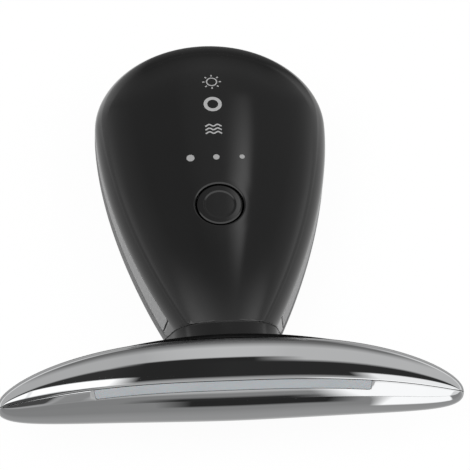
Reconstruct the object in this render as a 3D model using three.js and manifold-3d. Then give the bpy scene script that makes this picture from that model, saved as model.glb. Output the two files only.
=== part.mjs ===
import * as THREE from 'three';
import { mergeVertices } from 'three/addons/utils/BufferGeometryUtils.js';
import Module from 'manifold-3d';

const wasm = await Module();
wasm.setup();

// Millimetres. The massager lies on its back: +X along the head, +Y to the handle's tail, +Z up.

// Handle, seen from above
const halfWidth = 30;
const wideY = 32.4;
const tailLength = 25.6;
const neckRun = 50;
const neckHalfWidth = 18.6;
const neckCurve = 1.8;
const tailY = wideY + tailLength;

// Handle, seen from the side
const coverEdgeZ = 16;
const crownZ = 30;
const crownDrop = 2.5;
const domeSide = 2.6;
const domeTop = 1.8;
const wallFootZ = 10.8;
const wallFootDrop = 3.2;
const footCornerWide = 10;
const footCornerNeck = 5;
const footCornerPower = 2.1;
const floorSink = 0.03;
const floorBorder = 1;
const neckPlaneY = -23.8;
const neckPlaneLean = 0.42;
const trimEndY = -23.3;
const trimEndLean = 0.25;
const trimDepthWide = 1.9;
const trimDepthGrowth = 5.1;
const coverWall = 2;
const trimWall = 1.6;
const rearWall = 1.8;
const seam = 0.15;

// Head, in its own frame: X along it, Y up its face, Z out of its face
const headHalfLength = 56.8;
const headUp = 10.7;
const headDown = 9.3;
const headFront = 9.4;
const headBack = 5;
const headUpPower = 0.48;
const headDownPower = 0.42;
const headFrontPower = 0.4;
const headTurn = THREE.MathUtils.degToRad(36);
const headCentreZ = 20;
const seamRise = 0.5;
const seamDroop = 1;
const seamDroopPower = 2.6;
const shellWall = 1.2;
const backWall = 1.6;
const backRim = 0.4;
const backRimRise = 0.9;
const backRimReach = 30;
const backRimPower = 1.2;
const frameThick = 2.4;
const headScrewX = 36;
const headWellDepth = 2.6;

// Neck between the handle's end plane and the head
const neckStart = 0.9;
const neckWall = 2;
const neckBend = 0.42;
const neckHeadReach = 17;
const neckHeadPlane = -0.8;
const neckRimDrop = 0.1;
const neckFootRise = 1.3;
const sealInset = 0.3;
const sealWidth = 1.6;
const sealThick = 0.6;

// Light strip
const stripHalfLength = 33.3;
const stripHeight = 2.2;
const stripDepth = 3;
const stripCorner = 0.8;
const stripGap = 0.2;
const ledCount = 5;
const ledPitch = 13.5;
const ledSize = [3.5, 2.8, 0.9];
const ledBoardSize = [66, 5.4, 1];
const ledBoardY = -1.2;
const ledBoardBack = 1.5;
const contactX = 26;
const cableX = 6.8;

// Button, its switch and the three indicator dots
const buttonY = -1.3;
const buttonRadius = 5.8;
const buttonHoleRadius = 6.1;
const buttonFlangeRadius = 6.8;
const buttonDishRadius = 4;
const buttonDishDepth = 0.45;
const buttonDishZ = 28.75;
const buttonFlangeLow = 25.4;
const buttonFlangeThick = 0.8;
const buttonStemRadius = 1.5;
const buttonStemZ = 25.2;
const buttonTravel = 0.5;
const switchTopZ = 23.9;
const switchWidth = 6.2;
const plungerRadius = 1.65;
const dotY = 12.9;
const dotPitch = 6.55;
const dotRadii = [1.05, 0.85, 0.7];
const dotGuideLow = 22.6;

// Boards, cell and motor
const boardZ = 19;
const boardThick = 1.2;
const boardHalfWidth = 13;
const boardFrontY = -8;
const boardBackY = 42;
const bossX = 10.4;
const bossYs = [-5, 39];
const bossRadius = 2.2;
const boardHoleFoot = 12;
const casePosts = [[12.6, -12.5], [16, 41]];
const casePostRadius = 2.6;
const casePostFoot = 7.6;
const casePostTop = 26;
const casePilotTop = 16;
const caseBossTop = 7.2;
const caseWellDepth = 4;
const wellWall = 1.2;
const screwShankRadius = 1;
const screwHoleRadius = 1.3;
const screwHeadRadius = 1.9;
const screwHeadThick = 1.4;
const screwHeadHoleRadius = 2.2;
const cellSize = [22, 26, 6];
const cellY = 20.5;
const motorRadius = 5;
const motorZ = 8.6;
const motorFrontY = -12;
const motorBackY = 3;
const weightRadius = 4.4;
const weightLength = 5;
const socketZ = 10.4;
const socketSize = [8.9, 8, 3.3];
const gap = 0.3;

// Sizes that only need to reach past the part
const sideReach = 45;
const farY = 70;
const farZ = 40;
const headX = 60;
const headY = 30;
const bodyNeckEnd = -38;

// Colours
const gloss = { color: 0x1b1b1d, roughness: 0.12, metalness: 0 };
const silver = { color: 0xa9abad, roughness: 0.38, metalness: 0.6 };
const chrome = { color: 0xd2d4d6, roughness: 0.06, metalness: 1 };
const darkPlastic = { color: 0x26272a, roughness: 0.6, metalness: 0 };
const rubber = { color: 0x2c2c2e, roughness: 0.85, metalness: 0 };
const diffuser = { color: 0xd9dfe6, roughness: 0.45, metalness: 0 };
const boardGreen = { color: 0x1f5b3a, roughness: 0.55, metalness: 0 };
const steel = { color: 0x9b9ea2, roughness: 0.3, metalness: 1 };
const brass = { color: 0xb8964a, roughness: 0.35, metalness: 1 };
const chipBlack = { color: 0x18181a, roughness: 0.5, metalness: 0 };
const ledYellow = { color: 0xf0e6b4, roughness: 0.35, metalness: 0 };
const foil = { color: 0xb7bcc2, roughness: 0.45, metalness: 0.5 };
const foam = { color: 0x3a3a3c, roughness: 0.95, metalness: 0 };
const wireRed = { color: 0xa82a20, roughness: 0.5, metalness: 0 };
const wireBlack = { color: 0x1c1c1e, roughness: 0.5, metalness: 0 };
const film = { color: 0xb5702c, roughness: 0.4, metalness: 0 };

const device = new THREE.Group();
const head = new THREE.Group();
head.rotation.x = headTurn;
const headReach = Math.hypot(headDown * Math.cos(headTurn), headFront * Math.sin(headTurn));
const headCentreY = -tailY + headReach - seamRise * Math.cos(headTurn);
head.position.set(0, headCentreY, headCentreZ);
head.updateMatrixWorld(true);
device.add(head);

// Makes a named mesh and hangs it in a group.
function addPiece(group, name, geometry, look) {
  const material = new THREE.MeshStandardMaterial(look);
  const mesh = new THREE.Mesh(geometry, material);
  mesh.name = name;
  group.add(mesh);
  return mesh;
}

// Welds a closed geometry and turns it into a solid that can be cut and joined.
function solidOf(geometry) {
  const bare = new THREE.BufferGeometry();
  bare.setAttribute('position', geometry.getAttribute('position'));
  if (geometry.index) bare.setIndex(geometry.index);
  const welded = mergeVertices(bare, 1e-4);
  const corners = welded.index.array;
  const kept = [];
  for (let i = 0; i < corners.length; i += 3) {
    const [a, b, c] = [corners[i], corners[i + 1], corners[i + 2]];
    if (a !== b && b !== c && c !== a) kept.push(a, b, c);
  }
  return new wasm.Manifold(new wasm.Mesh({
    numProp: 3,
    vertProperties: Float32Array.from(welded.getAttribute('position').array),
    triVerts: Uint32Array.from(kept),
  }));
}

// Gives a solid back as a three.js geometry.
function geometryOf(solid) {
  const mesh = solid.getMesh();
  const geometry = new THREE.BufferGeometry();
  geometry.setAttribute('position', new THREE.BufferAttribute(mesh.vertProperties, 3));
  geometry.setIndex(new THREE.BufferAttribute(mesh.triVerts, 1));
  geometry.computeVertexNormals();
  return geometry;
}

// A closed skin over rows of points, the last row joined to the first.
function skin(rows) {
  const points = rows.flat();
  const rowLength = rows[0].length;
  const triangles = [];
  rows.forEach((row, i) => {
    const next = ((i + 1) % rows.length) * rowLength;
    for (let j = 0; j < rowLength - 1; j += 1) {
      const here = i * rowLength + j;
      triangles.push(here, next + j, next + j + 1, here, next + j + 1, here + 1);
    }
  });
  let volume = 0;
  for (let i = 0; i < triangles.length; i += 3) {
    const [a, b, c] = [points[triangles[i]], points[triangles[i + 1]], points[triangles[i + 2]]];
    volume += a.dot(b.clone().cross(c));
  }
  if (volume < 0) triangles.reverse();
  const geometry = new THREE.BufferGeometry().setFromPoints(points);
  geometry.setIndex(triangles);
  return geometry;
}

function box(width, depth, height, x, y, z) {
  return new THREE.BoxGeometry(width, depth, height).translate(x, y, z);
}

// A round bar standing on z = low.
function post(radius, low, high, x, y, sides = 14) {
  const geometry = new THREE.CylinderGeometry(radius, radius, high - low, sides);
  return geometry.rotateX(Math.PI / 2).translate(x, y, (low + high) / 2);
}

// A round bar along Y.
function axle(radius, fromY, toY, x, z, sides = 20) {
  const length = toY - fromY;
  return new THREE.CylinderGeometry(radius, radius, length, sides).translate(x, fromY + length / 2, z);
}

// A flat outline in Y and Z, drawn out along X on both sides of the middle.
function sideBlock(outline, reach) {
  const shape = new THREE.Shape(outline.map(([y, z]) => new THREE.Vector2(y, z)));
  const geometry = new THREE.ExtrudeGeometry(shape, { depth: 2 * reach, bevelEnabled: false });
  geometry.translate(0, 0, -reach);
  geometry.rotateX(Math.PI / 2).rotateZ(Math.PI / 2);
  return geometry;
}

// A flat outline in X and Y, drawn out along Z.
function upBlock(outline, low, high) {
  const shape = new THREE.Shape(outline.map(([x, y]) => new THREE.Vector2(x, y)));
  const geometry = new THREE.ExtrudeGeometry(shape, { depth: high - low, bevelEnabled: false });
  return geometry.translate(0, 0, low);
}

// A round wire through hand-placed points.
function wire(points, radius, steps = 8) {
  const route = new THREE.CatmullRomCurve3(points.map((p) => new THREE.Vector3(...p)));
  const section = new THREE.Shape();
  const sides = 8;
  for (let i = 0; i < sides; i += 1) {
    const turn = (2 * Math.PI * i) / sides;
    const corner = [radius * Math.cos(turn), radius * Math.sin(turn)];
    if (i === 0) section.moveTo(...corner);
    else section.lineTo(...corner);
  }
  return new THREE.ExtrudeGeometry(section, { steps, extrudePath: route });
}

function cutAll(solid, tools) {
  return tools.reduce((left, tool) => left.subtract(solidOf(tool)), solid);
}

function joinAll(solid, additions) {
  return additions.reduce((sum, addition) => sum.add(solidOf(addition)), solid);
}

// Handle form

function neckShare(y) {
  return Math.max(0, (wideY - y) / neckRun);
}

function planHalfWidth(y) {
  return halfWidth - (halfWidth - neckHalfWidth) * neckShare(y) ** neckCurve;
}

function crownAt(y) {
  return crownZ - crownDrop * neckShare(y) ** 2;
}

function wallFootAt(y) {
  return wallFootZ - wallFootDrop * neckShare(y);
}

function footCornerAt(y) {
  return footCornerWide + (footCornerNeck - footCornerWide) * Math.min(1, neckShare(y));
}

function neckPlaneAt(z) {
  return neckPlaneY - neckPlaneLean * z;
}

function trimEndAt(z) {
  return trimEndY - trimEndLean * z;
}

function trimFootAt(y) {
  return coverEdgeZ - trimDepthWide - trimDepthGrowth * neckShare(y);
}

// Height of the trim's lower edge where the trim ends.
const trimNeckFoot = trimFootAt(trimEndAt(coverEdgeZ / 2));

// Half of the handle's cross section at y, from the middle of its floor to its crown.
// Each point is [share of the half width, height]. The flat floor lies a hair above its border.
function halfSection(y, inset) {
  const width = planHalfWidth(y) - inset;
  const foot = Math.max(wallFootAt(y), inset + 1);
  const corner = footCornerAt(y);
  const flatEnd = 1 - (corner + floorBorder) / width;
  const points = [[0, inset + floorSink], [flatEnd, inset + floorSink]];
  const cornerSteps = 4;
  for (let i = 0; i <= cornerSteps; i += 1) {
    const turn = (Math.PI / 2) * (i / cornerSteps);
    const across = corner * (1 - Math.sin(turn) ** (2 / footCornerPower));
    const down = (foot - inset) * Math.cos(turn) ** (2 / footCornerPower);
    points.push([1 - across / width, foot - down]);
  }
  const domeSteps = 8;
  for (let i = 0; i <= domeSteps; i += 1) {
    const turn = (Math.PI / 2) * (i / domeSteps);
    const share = Math.max(0, Math.cos(turn)) ** (2 / domeSide);
    const rise = (crownAt(y) - inset - coverEdgeZ) * Math.sin(turn) ** (2 / domeTop);
    points.push([i === domeSteps ? 0 : share, coverEdgeZ + rise]);
  }
  return points;
}

// The whole handle as one closed body, its skin moved in by inset.
function handleBody(inset, neckEnd) {
  const rows = [];
  const neckSteps = 10;
  const tailSteps = 20;
  const neckRow = (y, side) => {
    const width = planHalfWidth(y) - inset;
    return halfSection(y, inset).map(([share, z]) => new THREE.Vector3(side * share * width, y, z));
  };
  for (let i = 0; i < neckSteps; i += 1) {
    rows.push(neckRow(neckEnd + (wideY - neckEnd) * (i / neckSteps), 1));
  }
  for (let i = 0; i <= tailSteps; i += 1) {
    const turn = Math.PI * (i / tailSteps);
    const across = (halfWidth - inset) * Math.cos(turn);
    const along = (tailLength - inset) * Math.sin(turn);
    rows.push(halfSection(wideY, inset).map(
      ([share, z]) => new THREE.Vector3(share * across, wideY + share * along, z)));
  }
  for (let i = neckSteps - 1; i >= 0; i -= 1) {
    rows.push(neckRow(neckEnd + (wideY - neckEnd) * (i / neckSteps), -1));
  }
  return solidOf(skin(rows));
}

const outerHandle = handleBody(0, bodyNeckEnd);

// Front cover

function coverRegion() {
  const foot = trimNeckFoot + seam;
  return solidOf(sideBlock([
    [neckPlaneAt(foot), foot],
    [trimEndAt(foot) - gap, foot],
    [trimEndAt(coverEdgeZ) - gap, coverEdgeZ + seam],
    [farY, coverEdgeZ + seam],
    [farY, farZ],
    [neckPlaneAt(farZ), farZ],
  ], sideReach));
}

function frontCover() {
  let cover = outerHandle.intersect(coverRegion());
  const hollow = handleBody(coverWall, bodyNeckEnd - 1);
  const posts = [];
  const pilots = [];
  for (const side of [-1, 1]) {
    for (const [x, y] of casePosts) {
      posts.push(post(casePostRadius, casePostFoot, casePostTop, side * x, y));
      pilots.push(post(screwHoleRadius, casePostFoot - 1, casePilotTop, side * x, y));
    }
  }
  cover = cover.subtract(hollow);
  const columns = posts.map((column) => solidOf(column).intersect(outerHandle));
  cover = columns.reduce((sum, column) => sum.add(column), cover);
  cover = cutAll(cover, pilots);
  const dotHoles = dotRadii.map(
    (radius, i) => post(radius + seam, boardZ, farZ, (i - 1) * dotPitch, dotY, 16));
  cover = cutAll(cover, [post(buttonHoleRadius, boardZ, farZ, 0, buttonY, 36), ...dotHoles]);
  addPiece(device, 'front_cover', geometryOf(cover), gloss);
}

// Side trim band, open at the neck

function sideTrim() {
  const top = coverEdgeZ - seam;
  const neckFoot = trimNeckFoot + seam;
  const region = solidOf(sideBlock([
    [trimEndAt(neckFoot), neckFoot],
    [wideY, trimFootAt(wideY) + seam],
    [farY, trimFootAt(wideY) + seam],
    [farY, top],
    [trimEndAt(top), top],
  ], sideReach));
  const trim = outerHandle.intersect(region).subtract(handleBody(trimWall, bodyNeckEnd - 1));
  addPiece(device, 'side_trim', geometryOf(trim), silver);
}

// Rear cover, with its bosses, screw wells and the charging window

function rearCover() {
  const neckFoot = trimNeckFoot - seam;
  const region = solidOf(sideBlock([
    [neckPlaneAt(-1), -1],
    [farY, -1],
    [farY, trimFootAt(wideY) - seam],
    [wideY, trimFootAt(wideY) - seam],
    [trimEndAt(neckFoot), neckFoot],
    [neckPlaneAt(neckFoot), neckFoot],
  ], sideReach));
  let rear = outerHandle.intersect(region);
  rear = rear.subtract(handleBody(rearWall, bodyNeckEnd - 1));
  const additions = [];
  const cuts = [];
  for (const side of [-1, 1]) {
    for (const [x, y] of casePosts) {
      additions.push(post(screwHeadHoleRadius + wellWall, rearWall / 2, caseBossTop, side * x, y));
      cuts.push(post(screwHeadHoleRadius, -1, caseWellDepth, side * x, y));
      cuts.push(post(screwHoleRadius, caseWellDepth - 1, caseBossTop + 1, side * x, y));
    }
    for (const y of bossYs) {
      additions.push(post(bossRadius, rearWall / 2, boardZ - gap, side * bossX, y));
      cuts.push(post(screwHoleRadius, boardHoleFoot, boardZ + 1, side * bossX, y));
    }
  }
  const bosses = additions.map((boss) => solidOf(boss).intersect(outerHandle));
  rear = bosses.reduce((sum, boss) => sum.add(boss), rear);
  const [width, , height] = socketSize;
  cuts.push(box(width + 2 * gap, 12, height + 2 * gap, 0, tailY, socketZ));
  rear = cutAll(rear, cuts);
  addPiece(device, 'rear_cover', geometryOf(rear), silver);
}

// Head form

function headShare(x, half) {
  return Math.max(0, 1 - (x / half) ** 2);
}

function seamAt(x) {
  return seamRise - seamDroop * (Math.abs(x) / stripHalfLength) ** seamDroopPower;
}

// How much further the back cover's rim stands out at x, so that it meets the neck.
function rimRise(x) {
  return backRimRise * Math.max(0, 1 - (x / backRimReach) ** 2) ** backRimPower;
}

// The whole head as one closed body, its skin moved in by inset and its upper rim out by rim.
function headBody(inset, rim = 0) {
  const half = headHalfLength - inset + rim / 2;
  const stations = 24;
  const sides = 20;
  const rows = [];
  for (let j = 0; j < sides; j += 1) {
    rows.push([]);
  }
  for (let i = 0; i <= stations; i += 1) {
    const x = half * Math.sin(Math.PI * (i / stations - 0.5));
    const share = headShare(x, half);
    const up = (headUp - inset + rim + (rim && rimRise(x))) * share ** headUpPower;
    const down = (headDown - inset) * share ** headDownPower;
    const front = (headFront - inset) * share ** headFrontPower;
    const back = (headBack - inset) * share ** headFrontPower;
    for (let j = 0; j < sides; j += 1) {
      const turn = (2 * Math.PI * j) / sides;
      const y = Math.cos(turn) * (Math.cos(turn) > 0 ? up : down);
      const z = Math.sin(turn) * (Math.sin(turn) > 0 ? front : back);
      const middle = seamAt(Math.min(half, Math.abs(x)));
      const closed = i === 0 || i === stations;
      rows[j].push(new THREE.Vector3(x, closed ? middle : middle + y, closed ? 0 : z));
    }
  }
  return solidOf(skin(rows));
}

// The part of the head's space above or below its seam line, on and in front of its rim plane.
function seamRegion(above, shift) {
  const outline = [];
  const steps = 24;
  for (let i = 0; i <= steps; i += 1) {
    const x = -headX + (2 * headX * i) / steps;
    outline.push([x, seamAt(x) + shift]);
  }
  const side = above ? headY : -headY;
  outline.push([headX, side], [-headX, side]);
  if (!above) outline.reverse();
  return solidOf(upBlock(outline, seam, headY));
}

// The light strip's outline, grown by a margin.
function stripBlock(margin, low, high) {
  const outline = [];
  const steps = 14;
  const half = stripHalfLength + margin;
  for (let i = 0; i <= steps; i += 1) {
    const x = -half + (2 * half * i) / steps;
    outline.push([x, seamAt(x) - seam + margin]);
  }
  const lower = (x) => seamAt(x) - seam - stripHeight - margin;
  outline.push([half, lower(half) + stripCorner]);
  for (let i = 0; i <= steps; i += 1) {
    const x = (half - stripCorner) * (1 - (2 * i) / steps);
    outline.push([x, lower(x)]);
  }
  outline.push([-half, lower(half) + stripCorner]);
  return upBlock(outline.reverse(), low, high);
}

const outerHead = headBody(0);

function headShells() {
  const hollow = headBody(shellWall);
  const skinShell = outerHead.subtract(hollow);
  const upper = skinShell.intersect(seamRegion(true, seam));
  const lower = skinShell.intersect(seamRegion(false, -seam));
  const slotted = lower.subtract(solidOf(stripBlock(stripGap, 1, headY)));
  addPiece(head, 'head_upper_shell', geometryOf(upper), chrome);
  addPiece(head, 'head_lower_shell', geometryOf(slotted), chrome);
}

function lightWindow() {
  const strip = solidOf(stripBlock(0, 1, headY)).intersect(headBody(0.05));
  const bar = strip.subtract(headBody(stripDepth));
  addPiece(head, 'light_window', geometryOf(bar), diffuser);
}

// Neck, from the handle's end plane to the back of the head

// Half width of the handle on its end plane at height z.
function endHalfWidth(z) {
  const y = neckPlaneAt(z);
  const foot = wallFootAt(y);
  const width = planHalfWidth(y);
  if (z >= coverEdgeZ) {
    const rise = Math.min(1, (z - coverEdgeZ) / (crownAt(y) - coverEdgeZ));
    return width * (1 - rise ** domeTop) ** (1 / domeSide);
  }
  if (z >= foot) return width;
  const fall = Math.min(1, (foot - z) / foot);
  const along = (1 - fall ** footCornerPower) ** (1 / footCornerPower);
  return width - footCornerAt(y) * (1 - along);
}

// Height of the crown on the end plane, found by repeated substitution.
function endCrown() {
  let z = crownZ;
  for (let i = 0; i < 12; i += 1) {
    z = crownAt(neckPlaneAt(z));
  }
  return z;
}

const endTop = endCrown();
const neckSides = 9;

// The right half of the handle's outline on its end plane, floor to crown, as world points.
function endOutline(inset) {
  const points = [new THREE.Vector3(0, neckPlaneAt(inset), inset)];
  for (let j = 0; j <= neckSides; j += 1) {
    const share = 0.5 - 0.5 * Math.cos((Math.PI * j) / neckSides);
    const z = endTop * share;
    const x = j === neckSides ? 0 : Math.max(0, endHalfWidth(z) - inset);
    const height = THREE.MathUtils.lerp(inset, endTop - inset, share);
    points.push(new THREE.Vector3(x, neckPlaneAt(height), height));
  }
  return points;
}

// The neck's other end, in the head's frame, with as many points.
function neckHeadOutline(inset) {
  const points = [];
  const reach = neckHeadReach - inset;
  const top = headUp + backRim + backRimRise - neckRimDrop - inset;
  const bottom = -headDown + neckFootRise + inset;
  for (let j = 0; j <= neckSides + 1; j += 1) {
    const turn = Math.PI * (j / (neckSides + 1) - 0.5);
    const y = THREE.MathUtils.lerp(bottom, top, 0.5 + 0.5 * Math.sin(turn));
    points.push(new THREE.Vector3(reach * Math.max(0, Math.cos(turn)), y, neckHeadPlane));
  }
  return points;
}

// The neck in the head's frame, drawn between its two outlines with a curved underside.
function neckBody(inset, start, end) {
  const toHead = head.matrixWorld.clone().invert();
  const from = endOutline(inset);
  const to = neckHeadOutline(inset);
  const stations = 6;
  const rows = [];
  for (let j = 0; j < from.length; j += 1) {
    const a = from[j].clone().add(new THREE.Vector3(0, -neckStart, 0));
    const b = to[j].clone().applyMatrix4(head.matrixWorld);
    const bend = a.clone().add(new THREE.Vector3(0, -neckBend * a.distanceTo(b), 0));
    const row = [];
    for (let i = 0; i <= stations; i += 1) {
      const t = start + (end - start) * (i / stations);
      const point = a.clone().multiplyScalar((1 - t) ** 2);
      point.addScaledVector(bend, 2 * t * (1 - t)).addScaledVector(b, t * t);
      row.push(point.applyMatrix4(toHead));
    }
    rows.push(row);
  }
  const mirrored = rows.slice(1, -1).reverse();
  const left = mirrored.map((row) => row.map((p) => new THREE.Vector3(-p.x, p.y, p.z)));
  const ring = [...rows, ...left];
  const firsts = ring.map((row) => row[0]);
  const lasts = ring.map((row) => row[stations]);
  const middleOf = (points) => points.reduce((sum, p) => sum.add(p), new THREE.Vector3())
    .divideScalar(points.length);
  const startMiddle = middleOf(firsts);
  const endMiddle = middleOf(lasts);
  const closed = ring.map((row) => [startMiddle, ...row, endMiddle]);
  return solidOf(skin(closed));
}

function headBackCover() {
  const behind = solidOf(box(2 * headX, 4 * headY, 2 * farZ, 0, 0, -farZ - seam));
  const shell = headBody(0, backRim).subtract(headBody(backWall)).intersect(behind);
  const neck = neckBody(seam, 0, 1).intersect(behind);
  let back = shell.add(neck);
  back = back.subtract(neckBody(neckWall, -0.05, 1.08));
  const roomThick = frameThick + 2 * gap;
  const frameRoom = solidOf(box(2 * headX, 2 * headY, roomThick, 0, 0, 0)).intersect(headBody(backWall));
  back = back.subtract(frameRoom);
  const wells = [];
  for (const side of [-1, 1]) {
    wells.push(post(screwHeadHoleRadius, -2 * headBack, -headWellDepth, side * headScrewX, 0));
    wells.push(post(screwHoleRadius, -headBack, headBack, side * headScrewX, 0));
  }
  const bossFront = -frameThick / 2 - gap;
  const bosses = [-1, 1].map((side) => post(
    screwHeadHoleRadius + wellWall, -headBack - 1, bossFront, side * headScrewX, 0))
    .map((boss) => solidOf(boss).intersect(outerHead));
  back = bosses.reduce((sum, boss) => sum.add(boss), back);
  back = cutAll(back, wells);
  addPiece(head, 'head_back_cover', geometryOf(back), gloss);
}

// Rubber seal between the handle and the neck.
function neckSeal() {
  const ring = (inset, from, to) => {
    const outline = endOutline(inset);
    const left = outline.slice(1, -1).reverse().map((p) => new THREE.Vector3(-p.x, p.y, p.z));
    const loop = [...outline, ...left];
    const middle = loop.reduce((sum, p) => sum.add(p), new THREE.Vector3()).divideScalar(loop.length);
    const at = (p, y) => new THREE.Vector3(p.x, p.y + y, p.z);
    return solidOf(skin(loop.map((p) => [at(middle, from), at(p, from), at(p, to), at(middle, to)])));
  };
  const seal = ring(sealInset, -seam - sealThick, -seam).subtract(ring(sealInset + sealWidth, -2, 1));
  addPiece(device, 'neck_seal', geometryOf(seal), rubber);
}

// Parts inside the head

function headFrame() {
  const plate = solidOf(box(2 * headX, 2 * headY, frameThick, 0, 0, 0));
  let frame = headBody(backWall + gap).intersect(plate);
  const cableWindow = box(4, 5, 2 * frameThick, cableX, -2, 0);
  const screwHoles = [-1, 1].map((side) => post(
    screwHoleRadius, -frameThick, frameThick, side * headScrewX, 0));
  frame = cutAll(frame, [cableWindow, ...screwHoles]);
  addPiece(head, 'head_frame', geometryOf(frame), darkPlastic);
}

function lightBoard() {
  const boardMiddle = ledBoardBack + ledBoardSize[2] / 2;
  const ledMiddle = ledBoardBack + ledBoardSize[2] + gap + ledSize[2] / 2;
  addPiece(head, 'led_board', box(...ledBoardSize, 0, ledBoardY, boardMiddle), boardGreen);
  for (let i = 0; i < ledCount; i += 1) {
    const x = (i - (ledCount - 1) / 2) * ledPitch;
    addPiece(head, `treatment_led_${i + 1}`, box(...ledSize, x, ledBoardY, ledMiddle), ledYellow);
  }
}

function heatingFilm() {
  const sheet = headBody(shellWall + gap).subtract(headBody(shellWall + gap + 0.35));
  const patch = solidOf(box(44, 3.6, 20, 0, 6.2, 10.9));
  addPiece(head, 'heating_film', geometryOf(sheet.intersect(patch)), film);
  addPiece(head, 'thermistor', box(2.2, 1.6, 1, 6, 4.6, 5), chipBlack);
}

// Leaf springs that press on the inside of the two plated shells.
function contactSpring(name, x, way) {
  const leaf = [
    [4.2, 1.5], [5.2, 1.5], [5.9, 3.4], [5.5, 3.6], [4.9, 1.9], [4.2, 1.9],
  ].map(([y, z]) => [way * y, z]);
  if (way < 0) leaf.reverse();
  const mesh = addPiece(head, name, sideBlock(leaf, 1.6), brass);
  mesh.position.x = x;
}

function headScrews() {
  for (const [name, side] of [['head_screw_left', -1], ['head_screw_right', 1]]) {
    const high = -headWellDepth - gap;
    const top = solidOf(post(screwHeadRadius, high - screwHeadThick, high, side * headScrewX, 0));
    const shank = post(screwShankRadius, -headWellDepth - 1, frameThick / 2, side * headScrewX, 0, 12);
    const screw = top.add(solidOf(shank));
    addPiece(head, name, geometryOf(screw), steel);
  }
}

// Button and switch

function buttonCap() {
  const skinTop = handleBody(0.12, bodyNeckEnd);
  const flangeTop = buttonFlangeLow + buttonFlangeThick;
  const flangeMiddle = buttonFlangeLow + buttonFlangeThick / 2;
  let cap = solidOf(post(buttonRadius, flangeMiddle, farZ, 0, buttonY, 36)).intersect(skinTop);
  const flange = post(buttonFlangeRadius, buttonFlangeLow, flangeTop, 0, buttonY, 36);
  const dishDeep = 4;
  const dish = new THREE.CylinderGeometry(buttonDishRadius, buttonDishRadius - 0.4, dishDeep, 30);
  dish.rotateX(Math.PI / 2).translate(0, buttonY, buttonDishZ - buttonDishDepth + dishDeep / 2);
  const stem = post(buttonStemRadius, buttonStemZ, flangeMiddle, 0, buttonY);
  cap = joinAll(cap, [flange, stem]).subtract(solidOf(dish));
  addPiece(device, 'button_cap', geometryOf(cap), gloss);
}

function tactSwitch() {
  const low = boardZ + boardThick + gap;
  const plungerLow = switchTopZ - 0.8;
  const boreLow = plungerLow - buttonTravel - gap;
  const block = box(switchWidth, switchWidth, switchTopZ - low, 0, buttonY, (low + switchTopZ) / 2);
  const bore = post(plungerRadius + gap, boreLow, farZ, 0, buttonY, 20);
  addPiece(device, 'switch_body', geometryOf(cutAll(solidOf(block), [bore])), chipBlack);
  const plunger = post(plungerRadius, plungerLow, buttonStemZ - gap, 0, buttonY, 20);
  addPiece(device, 'switch_plunger', plunger, darkPlastic);
}

function indicators() {
  const skinTop = handleBody(0.05, bodyNeckEnd);
  dotRadii.forEach((radius, i) => {
    const x = (i - 1) * dotPitch;
    const guide = solidOf(post(radius, dotGuideLow, farZ, x, dotY, 16)).intersect(skinTop);
    addPiece(device, `indicator_guide_${i + 1}`, geometryOf(guide), diffuser);
    const ledZ = boardZ + boardThick + gap + 0.6;
    addPiece(device, `indicator_led_${i + 1}`, box(1.6, 1.2, 1.2, x, dotY, ledZ), ledYellow);
  });
}

// Main board, its parts and screws

function mainBoard() {
  const length = boardBackY - boardFrontY;
  const middleY = (boardBackY + boardFrontY) / 2;
  const plate = solidOf(box(2 * boardHalfWidth, length, boardThick, 0, middleY, boardZ + boardThick / 2));
  const holes = [];
  for (const side of [-1, 1]) {
    for (const y of bossYs) {
      holes.push(post(screwHoleRadius, boardZ - 1, boardZ + 2 * boardThick, side * bossX, y));
    }
  }
  addPiece(device, 'main_board', geometryOf(cutAll(plate, holes)), boardGreen);
  const top = boardZ + boardThick + gap;
  addPiece(device, 'control_chip', box(6, 6, 1, 0, 24, top + 0.5), chipBlack);
  addPiece(device, 'boost_coil', post(2.6, top, top + 2.4, -7, 32, 16), darkPlastic);
}

function boardScrews() {
  let number = 1;
  for (const y of bossYs) {
    for (const side of [-1, 1]) {
      const low = boardZ + boardThick + gap;
      const top = solidOf(post(screwHeadRadius, low, low + screwHeadThick, side * bossX, y));
      const shank = post(screwShankRadius, boardHoleFoot + 1, low + 0.5, side * bossX, y, 12);
      const screw = top.add(solidOf(shank));
      addPiece(device, `board_screw_${number}`, geometryOf(screw), steel);
      number += 1;
    }
  }
}

function caseScrews() {
  let number = 1;
  for (const [x, y] of casePosts) {
    for (const side of [-1, 1]) {
      const high = caseWellDepth - gap;
      const top = solidOf(post(screwHeadRadius, high - screwHeadThick, high, side * x, y));
      const screw = top.add(solidOf(post(screwShankRadius, high - 1, casePilotTop - 2, side * x, y, 12)));
      addPiece(device, `case_screw_${number}`, geometryOf(screw), steel);
      number += 1;
    }
  }
}

// Cell, motor and charging parts

function cell() {
  const [width, length, height] = cellSize;
  const low = rearWall + 1.4;
  addPiece(device, 'cell_pad', box(width - 2, length - 2, 0.8, 0, cellY, rearWall + gap + 0.4), foam);
  addPiece(device, 'battery_cell', box(width, length, height, 0, cellY, low + height / 2), foil);
  const leadZ = low + height / 2;
  const backY = cellY + length / 2;
  const endZ = boardZ - gap - 0.5;
  for (const [name, x, look] of [['cell_lead_plus', -4, wireRed], ['cell_lead_minus', 4, wireBlack]]) {
    const points = [
      [x, backY + gap, leadZ],
      [x, backY + 2.2, leadZ + 0.6],
      [x, backY + 3, leadZ + 5],
      [x, backY + 2, endZ],
    ];
    addPiece(device, name, wire(points, 0.5), look);
  }
}

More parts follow.
